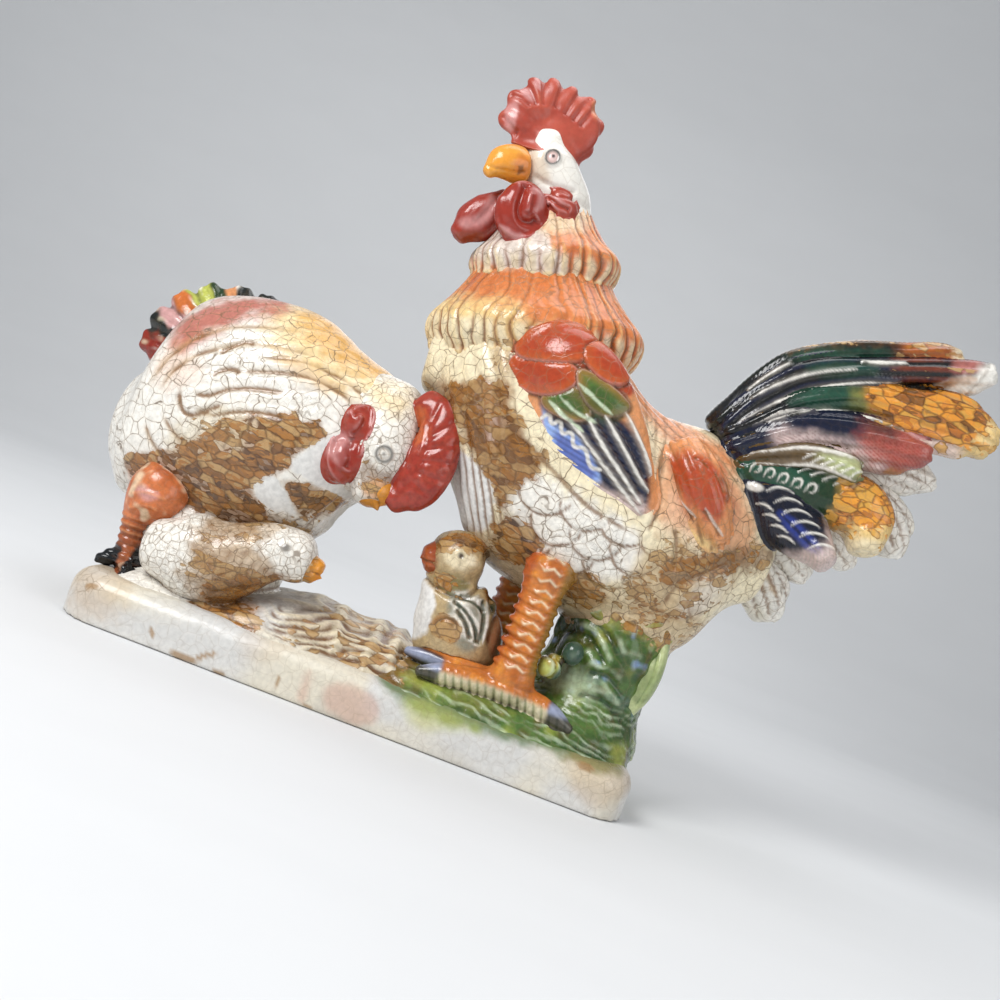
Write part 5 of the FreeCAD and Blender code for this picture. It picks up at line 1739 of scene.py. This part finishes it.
class POULTRY_OT_tail(bpy.types.Operator):
    """Carves the seven painted tail plumes on the near side"""

    bl_idname = "poultry.tail"
    bl_label = "Tail plumes"

    def execute(self, context):
        self.c = Palette(context.scene.poultry_colours)
        self.dark = glaze_material("plume_glaze", "dark glazes broken white on the ridges", 0.8, 0.45, 0.14)
        self.golden = glaze_material("golden_plume_glaze", "amber flakes", 0.8, 0.5, 0.14, golden=True)
        self.dark_plume(
            "tail_sickle_top",
            [(103, 165), (110, 180), (124, 202), (138, 211), (160, 219), (188, 230)],
            ([(110.5, 183), (116, 193), (124, 202)], [(113, 176), (122, 190), (136, 203)]),
            self.paint_sickle_top,
        )
        self.dark_plume(
            "tail_sickle_second",
            [(107, 166), (115, 180), (128, 196), (148, 207), (170, 215), (204, 226)],
            (
                [(111, 169), (120, 180), (134, 193), (148, 201), (170, 210.5)],
                [(150, 211.5), (158, 214), (169, 218)],
                [(112, 180), (120, 190), (134, 201), (150, 208)],
            ),
            self.paint_sickle_second,
        )
        self.dark_plume(
            "tail_plume_gold",
            [(109, 163), (120, 174), (136, 189), (160, 198), (190, 201), (214, 199)],
            ([(128.5, 179), (138, 185), (150, 189.5), (166, 190.5), (180, 190)],),
            self.paint_gold,
            golden=True,
        )
        self.dark_plume(
            "tail_plume_blue",
            [(113, 158), (124, 167), (140, 177), (164, 182), (190, 186)],
            ([(122, 173.5), (126, 176.5), (129, 179)], [(116, 170), (126, 180), (140, 186)]),
            self.paint_blue,
        )
        self.dark_plume(
            "tail_plume_slim",
            [(118, 155), (128, 161), (144, 166), (164, 166)],
            (
                [(119, 158), (130, 164), (140, 169), (154, 171), (168, 171)],
                [(122, 155), (134, 159), (146, 164), (164, 163)]
            ),
            self.paint_slim,
        )
        self.dark_plume(
            "tail_plume_round",
            [(121, 152), (136, 154), (150, 155), (164, 155), (177, 145)],
            (),
            self.paint_round,
            flute=0.1,
            golden=True,
        )
        self.dark_plume(
            "tail_covert",
            [(126, 147), (138, 141), (150, 135), (165, 127)],
            (),
            self.paint_covert,
            flute=0.0,
        )
        return {"FINISHED"}

    def dark_plume(self, node, spine, ridges, paint, flute=0.35, golden=False):
        """One plume: fluted along its quill, rooted in the body and in the plumes beside it."""
        c = self.c
        carriers = ["rooster_body"] + [name for name in NEAR_PLUMES if name != node]
        skin = cast([node], "plume_grain", 0, carriers, 2.4)
        skin.across, along = plume_frame(skin, spine)
        skin.wave = barbs(skin, skin.across, along, 2.2, 1.6, 0.1)
        skin.flutes = np.sin(skin.across * 2.0 * math.pi / 4.2 + 0.9 * skin.noise(12, 3))
        skin.lift += flute * skin.flutes
        for path in ridges:
            skin.groove(path, 2, -0.9, 0.1)
        lines = self.fine_lines(node)
        for path in lines:
            skin.groove(path, 1.3, -0.6, 0.25)
        skin.settle()
        skin.coat(c.ink, crackle=0.08)
        paint(skin)
        for path in ridges:
            skin.tint(0.3 * skin.stroke(path, 3.2, 1.4, 0.3, 0.3), c.slate)
            skin.tint(0.85 * skin.stroke(path, 1.1, 0.35, 0.35, 0.25), c.white)
        for path in lines:
            skin.tint(0.85 * skin.stroke(path, 0.9, 0.4, 0.4), c.white)
        fire(skin, node + "_feather", self.golden if golden else self.dark, [node])

    def fine_lines(self, node):
        """The thin white lines drawn on the covert and on the root of the round plume."""
        lines = []
        if node == "tail_covert":
            for i in range(6):
                x, z = 131.0 + 4.6 * i, 145.5 - 3.3 * i
                lines.append([(x, z), (x + 3.0, z + 3.4), (x + 7.5, z + 4.6), (x + 12.0, z + 3.6)])
            for i in range(4):
                x, z = 129.0 + 4.2 * i, 139.5 - 3.2 * i
                lines.append([(x, z), (x + 3.5, z + 1.4), (x + 8.0, z - 0.4)])
        if node == "tail_plume_round":
            for x in range(122, 148, 6):
                lines.append([(x, 151), (x + 0.5, 155), (x + 3.5, 156), (x + 4, 152.5), (x + 1.5, 151.5)])
            for x in range(136, 162, 5):
                lines.append([(x, 158), (x + 3, 161.5), (x + 8, 163.5)])
        if node == "tail_plume_slim":
            for x in range(140, 162, 4):
                lines.append([(x, 163.5), (x + 2.5, 166.5), (x + 5, 167.5)])
        return lines

    def paint_sickle_top(self, skin):
        c = self.c
        green = skin.patch([(120, 202), (134, 206), (162, 215), (164, 221), (140, 215), (124, 209)], 4, 2)
        skin.tint(0.8 * green, c.teal)
        skin.tint(0.4 * step(0.4, 1, skin.flutes), 0.5 * c.moss)
        brown = skin.stroke([(116, 205), (132, 215), (150, 223), (176, 231), (190, 234)], 5, 2.5, 0.1, 1.5)
        skin.tint(0.75 * brown, 0.6 * c.umber + 0.4 * c.coffee, flakes=0.35)
        tip = skin.patch([(162, 232), (166, 218), (190, 224), (194, 234)], 5, 2)
        skin.tint(0.85 * tip, 0.5 * (c.amber + c.brick), flakes=0.4)
        skin.tint(0.8 * skin.patch([(184, 234), (187, 225), (194, 228), (192, 236)], 2.5, 1), c.cream)

    def paint_sickle_second(self, skin):
        c = self.c
        skin.tint(0.8 * step(-0.2, 0.8, skin.flutes), c.navy)
        skin.tint(
            0.7 * skin.patch([(128, 200), (140, 200), (160, 210), (156, 213), (136, 207)], 3, 1), c.teal
        )
        streak = skin.patch([(162, 221), (164, 210), (196, 217), (204, 230), (186, 226)], 5, 3)
        skin.tint(0.75 * streak * step(-0.6, 0.6, skin.flutes), 0.5 * (c.deep_red + c.umber), flakes=0.2)
        skin.tint(
            0.8 * skin.patch([(184, 222), (194, 222), (200, 230), (192, 229)], 3, 1),
            0.6 * c.brick + 0.4 * c.pink
        )
        tip = skin.patch([(182, 213), (195, 220), (199, 231), (210, 236), (210, 208), (192, 206)], 2.5, 1.5)
        skin.tint(0.95 * tip, c.white, shine=0.95)
        skin.tint(0.5 * skin.stroke([(184, 214), (192, 219), (198, 222)], 3, 1, 0.2, 1), c.amber)
        skin.tint(0.6 * skin.stroke([(197, 213), (199, 222), (201, 230)], 1.2, 0.5, 0.2), c.slate)

    def paint_gold(self, skin):
        c = self.c
        green = skin.patch([(126, 188), (134, 183), (154, 189), (160, 194), (154, 202), (138, 198)], 4, 2)
        skin.tint(0.85 * green, c.teal)
        skin.tint(
            0.5 * skin.patch([(148, 199), (154, 190), (166, 192), (162, 203)], 4, 2),
            0.5 * (c.lime + c.umber)
        )
        flaked = skin.patch([(154, 214), (158, 194), (178, 186), (206, 184), (224, 200), (200, 220)], 5, 3)
        skin.tint(flaked, 0.8 * c.amber + 0.2 * c.beak, flakes=0.95, crackle=0.3)
        skin.tint(0.5 * flaked * step(0, 0.8, skin.noise(6, 9)), c.umber)
        tip = skin.patch([(200, 190), (207, 202), (208, 212), (224, 206), (220, 184), (196, 184)], 5, 3)
        skin.tint(0.85 * tip, c.straw, flakes=0.2, crackle=0.8)
        low = skin.patch([(176, 190), (192, 194), (206, 190), (200, 180), (182, 184)], 3, 1.5)
        skin.tint(0.8 * low, 0.6 * c.white + 0.4 * c.pink, flakes=0.1, crackle=0.7)
        edge = skin.stroke([(160, 190), (176, 189), (192, 192), (198, 196)], 1.6, 0.8, 0.1, 0.4)
        skin.tint(0.6 * edge, c.coffee)

    def paint_blue(self, skin):
        c = self.c
        skin.colour[:] = 0.7 * c.navy + 0.3 * c.ink
        fringe = skin.patch(
            [(122, 167), (130, 174), (150, 177), (172, 179), (178, 168), (150, 162)], 3.5, 1.5
        )
        skin.tint(0.85 * fringe, 0.5 * (c.pink + c.white))
        skin.tint(0.5 * fringe * step(0.3, 1, skin.wave), 0.5 * (c.deep_red + c.navy))
        red = skin.patch([(158, 190), (160, 176), (180, 170), (198, 180), (194, 192), (176, 192)], 5, 3)
        skin.tint(0.8 * red, 0.8 * c.brick + 0.2 * c.pink, crackle=0.2)
        skin.tint(0.5 * red * step(0, 0.9, skin.wave), c.deep_red)
        skin.tint(0.7 * skin.patch([(158, 191), (174, 192), (172, 183), (160, 184)], 4, 2), c.ink)
        skin.tint(
            0.8 * skin.stroke([(168, 190), (182, 190), (192, 189), (196, 184)], 1.6, 0.7, 0.2, 0.5), c.pink
        )
        skin.tint(0.7 * skin.stroke([(174, 171), (186, 173), (193, 179)], 4, 1.4, 0.2, 1), c.amber)
        skin.tint(0.8 * skin.stroke([(180, 170), (188, 171), (195, 180)], 1.4, 0.5, 0.2), c.white)

    def paint_slim(self, skin):
        c = self.c
        skin.colour[:] = 0.5 * (c.umber + c.moss)
        pale = skin.patch([(144, 166), (150, 171), (170, 172), (182, 170), (176, 160), (156, 162)], 4, 2)
        skin.tint(0.75 * pale, 0.5 * (c.mint + c.lime))
        skin.tint(0.5 * step(-0.5, -3, skin.across) * step(138, 146, skin.x), c.moss)

    def paint_round(self, skin):
        c = self.c
        skin.colour[:] = 0.6 * c.moss + 0.2 * c.teal
        root = skin.patch([(116, 148), (118, 158), (146, 162), (148, 151), (130, 148)], 3, 1)
        skin.tint(0.8 * root, c.teal)
        skin.tint(
            0.6 * skin.patch([(132, 166), (150, 167), (164, 165), (160, 158), (140, 160)], 3, 1), c.moss
        )
        pale = skin.patch([(148, 168), (164, 170), (178, 168), (170, 160), (156, 162)], 4, 2)
        skin.tint(0.6 * pale, 0.5 * (c.mint + c.lime))
        gold = skin.patch(
            [(158, 168), (174, 172), (190, 160), (190, 142), (176, 132), (162, 138), (160, 152)], 4, 2
        )
        skin.tint(gold, c.gold, flakes=0.85, crackle=0.5)
        skin.tint(0.5 * gold * step(0.1, 0.8, skin.noise(5, 4)), c.beak)
        low = skin.patch([(162, 144), (176, 149), (190, 150), (190, 132), (166, 128)], 4, 2)
        skin.tint(0.8 * low, c.straw, flakes=0.2, crackle=0.8)
        skin.tint(
            0.8 * skin.patch([(164, 140), (180, 143), (188, 140), (180, 130), (168, 130)], 3, 1.5), c.cream,
            flakes=0
        )
        rust = skin.patch([(160, 156), (168, 152), (170, 140), (161, 142)], 3, 2)
        skin.tint(0.6 * rust, c.umber)

    def paint_covert(self, skin):
        c = self.c
        skin.colour[:] = 0.6 * c.ink + 0.4 * c.navy
        quill = skin.stroke([(138, 140), (150, 134), (161, 128)], 5, 1.6, 0.3)
        skin.tint(0.7 * quill, c.blue)
        skin.tint(0.8 * skin.stroke([(138, 140), (150, 134), (161, 128)], 1.4, 0.6, 0.3), c.ink)
        rim = skin.patch(
            [(158, 150), (170, 146), (176, 130), (166, 116), (144, 118), (149, 125), (163, 133)], 3.5, 1.5
        )
        skin.tint(0.85 * rim, 0.5 * (c.pink + c.white), crackle=0.4)
        skin.tint(0.5 * rim * step(0, 0.8, skin.wave), c.slate)
        skin.tint(0.8 * skin.oval((126.5, 146), (3.4, 1.8), 10, 0.3), c.white)


class POULTRY_OT_far_tail(bpy.types.Operator):
    """Carves the plain crackled plumes on the far side"""

    bl_idname = "poultry.far_tail"
    bl_label = "Far tail plumes"

    def execute(self, context):
        c = Palette(context.scene.poultry_colours)
        material = glaze_material("far_plume_glaze", "white crackle glaze", 1.0, 0.6)
        spines = {
            "tail_far_upper": [(110, 168), (135, 195), (177, 209), (206, 213)],
            "tail_far_middle": [(116, 164), (147, 179), (184, 178), (203, 178)],
            "tail_far_round": [(122, 160), (158, 164), (190, 157), (199, 146)],
            "tail_far_covert": [(128, 150), (163, 145), (181, 133)],
            "tail_far_short": [(133, 140), (158, 126), (166, 120)],
            "tail_far_lobe": [(134, 124), (155, 105), (159, 100)],
        }
        for node, spine in spines.items():
            skin = cast([node], "far_grain", 0, ["rooster_body"], 2)
            across, along = plume_frame(skin, spine)
            skin.lift += 0.45 * np.sin(across * 2.0 * math.pi / 5.0 + 0.6 * skin.noise(12, 3))
            barbs(skin, across, along, 3.2, 1.4, 0.15)
            skin.settle()
            skin.colour[:] = c.white
            root = step(150, 122, skin.x)
            skin.tint(0.7 * root * step(0.1, 0.9, skin.noise(9, 2) + 0.5), 0.6 * c.teal + 0.2 * c.navy)
            skin.tint(0.35 * step(0.1, 0.9, skin.noise(12, 5)), c.cream)
            if node == "tail_far_lobe":
                for x in (139, 145, 151):
                    skin.tint(
                        0.6 * skin.stroke([(x - 4, 118), (x + 2, 111), (x + 8, 106)], 2.6, 0.9, 0.3, 0.8),
                        c.tan
                    )
            weather(skin, c, 0.35)
            fire(skin, node + "_feather", material, [node])
        return {"FINISHED"}


# Studio
def area_light(name, place, target, width, power, colour=(1.0, 1.0, 1.0)):
    """A soft square lamp aimed at a point; lengths in millimetres."""
    data = bpy.data.lights.new(name, "AREA")
    data.size = width * MM
    data.energy = power
    data.color = colour
    lamp = bpy.data.objects.new(name, data)
    lamp.location = Vector(place) * MM
    aim = Vector(target) * MM - lamp.location
    lamp.rotation_euler = aim.to_track_quat("-Z", "Y").to_euler()
    bpy.context.scene.collection.objects.link(lamp)


class POULTRY_OT_stage(bpy.types.Operator):
    """Sets the pale floor, the soft studio light and the camera"""

    bl_idname = "poultry.stage"
    bl_label = "Studio"

    def execute(self, context):
        scene = context.scene
        colours = Palette(scene.poultry_colours)
        points, faces = [], []
        rows = [(-1.6, 0.0), (0.55, 0.0)]
        rows += [
            (0.55 + 0.3 * math.sin(a), 0.3 - 0.3 * math.cos(a)) for a in np.radians((20, 40, 60, 75, 90))
        ]
        rows += [(0.85, 2.4)]
        for y, z in rows:
            points += [(-3.0, y, z - 0.0004), (3.0, y, z - 0.0004)]
        for i in range(len(rows) - 1):
            faces.append((2 * i, 2 * i + 1, 2 * i + 3, 2 * i + 2))
        mesh = bpy.data.meshes.new("studio_sweep")
        mesh.from_pydata(points, [], faces)
        mesh.polygons.foreach_set("use_smooth", [True] * len(faces))
        material = bpy.data.materials.new("studio_paper")
        graph = Graph(material)
        paper = graph.node("ShaderNodeTexNoise", {"Scale": 60.0, "Detail": 3.0}).outputs[0]
        shade_of_paper = graph.ramp(paper, 0.3, 0.7, 0.985, 1.0)
        tone = graph.node(
            "ShaderNodeVectorMath", {0: tuple(colours.floor), 3: shade_of_paper}, operation="SCALE"
        )
        shader = graph.node("ShaderNodeBsdfPrincipled", {"Base Color": tone.outputs[0], "Roughness": 0.8})
        graph.node("ShaderNodeOutputMaterial", {"Surface": shader.outputs[0]})
        mesh.materials.append(material)
        sweep = bpy.data.objects.new("studio_sweep", mesh)
        scene.collection.objects.link(sweep)

        world = bpy.data.worlds.new("studio_light")
        scene.world = world
        graph = Graph(world)
        sky = graph.node("ShaderNodeBackground", {"Color": (0.93, 0.96, 1.0, 1.0), "Strength": 0.4})
        graph.node("ShaderNodeOutputWorld", {"Surface": sky.outputs[0]})

        area_light("key_light", (-420, -520, 640), (20, 0, 130), 380, 6.2)
        area_light("fill_light", (620, -520, 360), (30, 0, 110), 520, 1.6)
        area_light("top_light", (60, 120, 780), (20, 0, 120), 500, 1.8)
        area_light("back_light", (60, 640, 420), (20, 0, 120), 500, 0.7)

        data = bpy.data.cameras.new("photograph_view")
        data.sensor_width = 36.0
        data.lens = 18.0 / VIEW_HALF_WIDTH
        data.clip_start = 0.01
        camera = bpy.data.objects.new("photograph_view", data)
        right = Vector((math.cos(ROLL), 0.0, math.sin(ROLL)))
        up = Vector((-math.sin(ROLL), 0.0, math.cos(ROLL)))
        turned = Matrix((right, up, right.cross(up))).transposed().to_4x4()
        camera.matrix_world = Matrix.Translation(Vector(CAMERA_PLACE) * MM) @ turned
        scene.collection.objects.link(camera)
        scene.camera = camera
        scene.view_settings.view_transform = "Standard"
        return {"FINISHED"}


PIECES = (
    POULTRY_OT_plinth,
    POULTRY_OT_rock,
    POULTRY_OT_grass,
    POULTRY_OT_buds,
    POULTRY_OT_hen,
    POULTRY_OT_hen_face,
    POULTRY_OT_hen_tail,
    POULTRY_OT_hen_legs,
    POULTRY_OT_left_chick,
    POULTRY_OT_right_chick,
    POULTRY_OT_rooster,
    POULTRY_OT_wings,
    POULTRY_OT_saddles,
    POULTRY_OT_hackles,
    POULTRY_OT_rooster_face,
    POULTRY_OT_rooster_flesh,
    POULTRY_OT_rooster_legs,
    POULTRY_OT_tail,
    POULTRY_OT_far_tail,
    POULTRY_OT_stage,
)


class POULTRY_PT_panel(bpy.types.Panel):
    """Lists the pieces, their sizes and their glazes"""

    bl_idname = "POULTRY_PT_panel"
    bl_label = "Poultry group"
    bl_space_type = "VIEW_3D"
    bl_region_type = "UI"
    bl_category = "Poultry"

    def draw(self, context):
        layout = self.layout
        for group in (context.scene.poultry_sizes, context.scene.poultry_colours):
            box = layout.box()
            for name in group.__annotations__:
                box.prop(group, name)
        for piece in PIECES:
            layout.operator(piece.bl_idname)


CLASSES = (PoultrySizes, PoultryColours, *PIECES, POULTRY_PT_panel)


def register():
    for item in CLASSES:
        bpy.utils.register_class(item)
    bpy.types.Scene.poultry_sizes = bpy.props.PointerProperty(type=PoultrySizes)
    bpy.types.Scene.poultry_colours = bpy.props.PointerProperty(type=PoultryColours)


def unregister():
    del bpy.types.Scene.poultry_colours
    del bpy.types.Scene.poultry_sizes
    for item in reversed(CLASSES):
        bpy.utils.unregister_class(item)


def main():
    register()
    for piece in PIECES:
        family, name = piece.bl_idname.split(".")
        getattr(getattr(bpy.ops, family), name)()


if __name__ == "__main__":
    main()
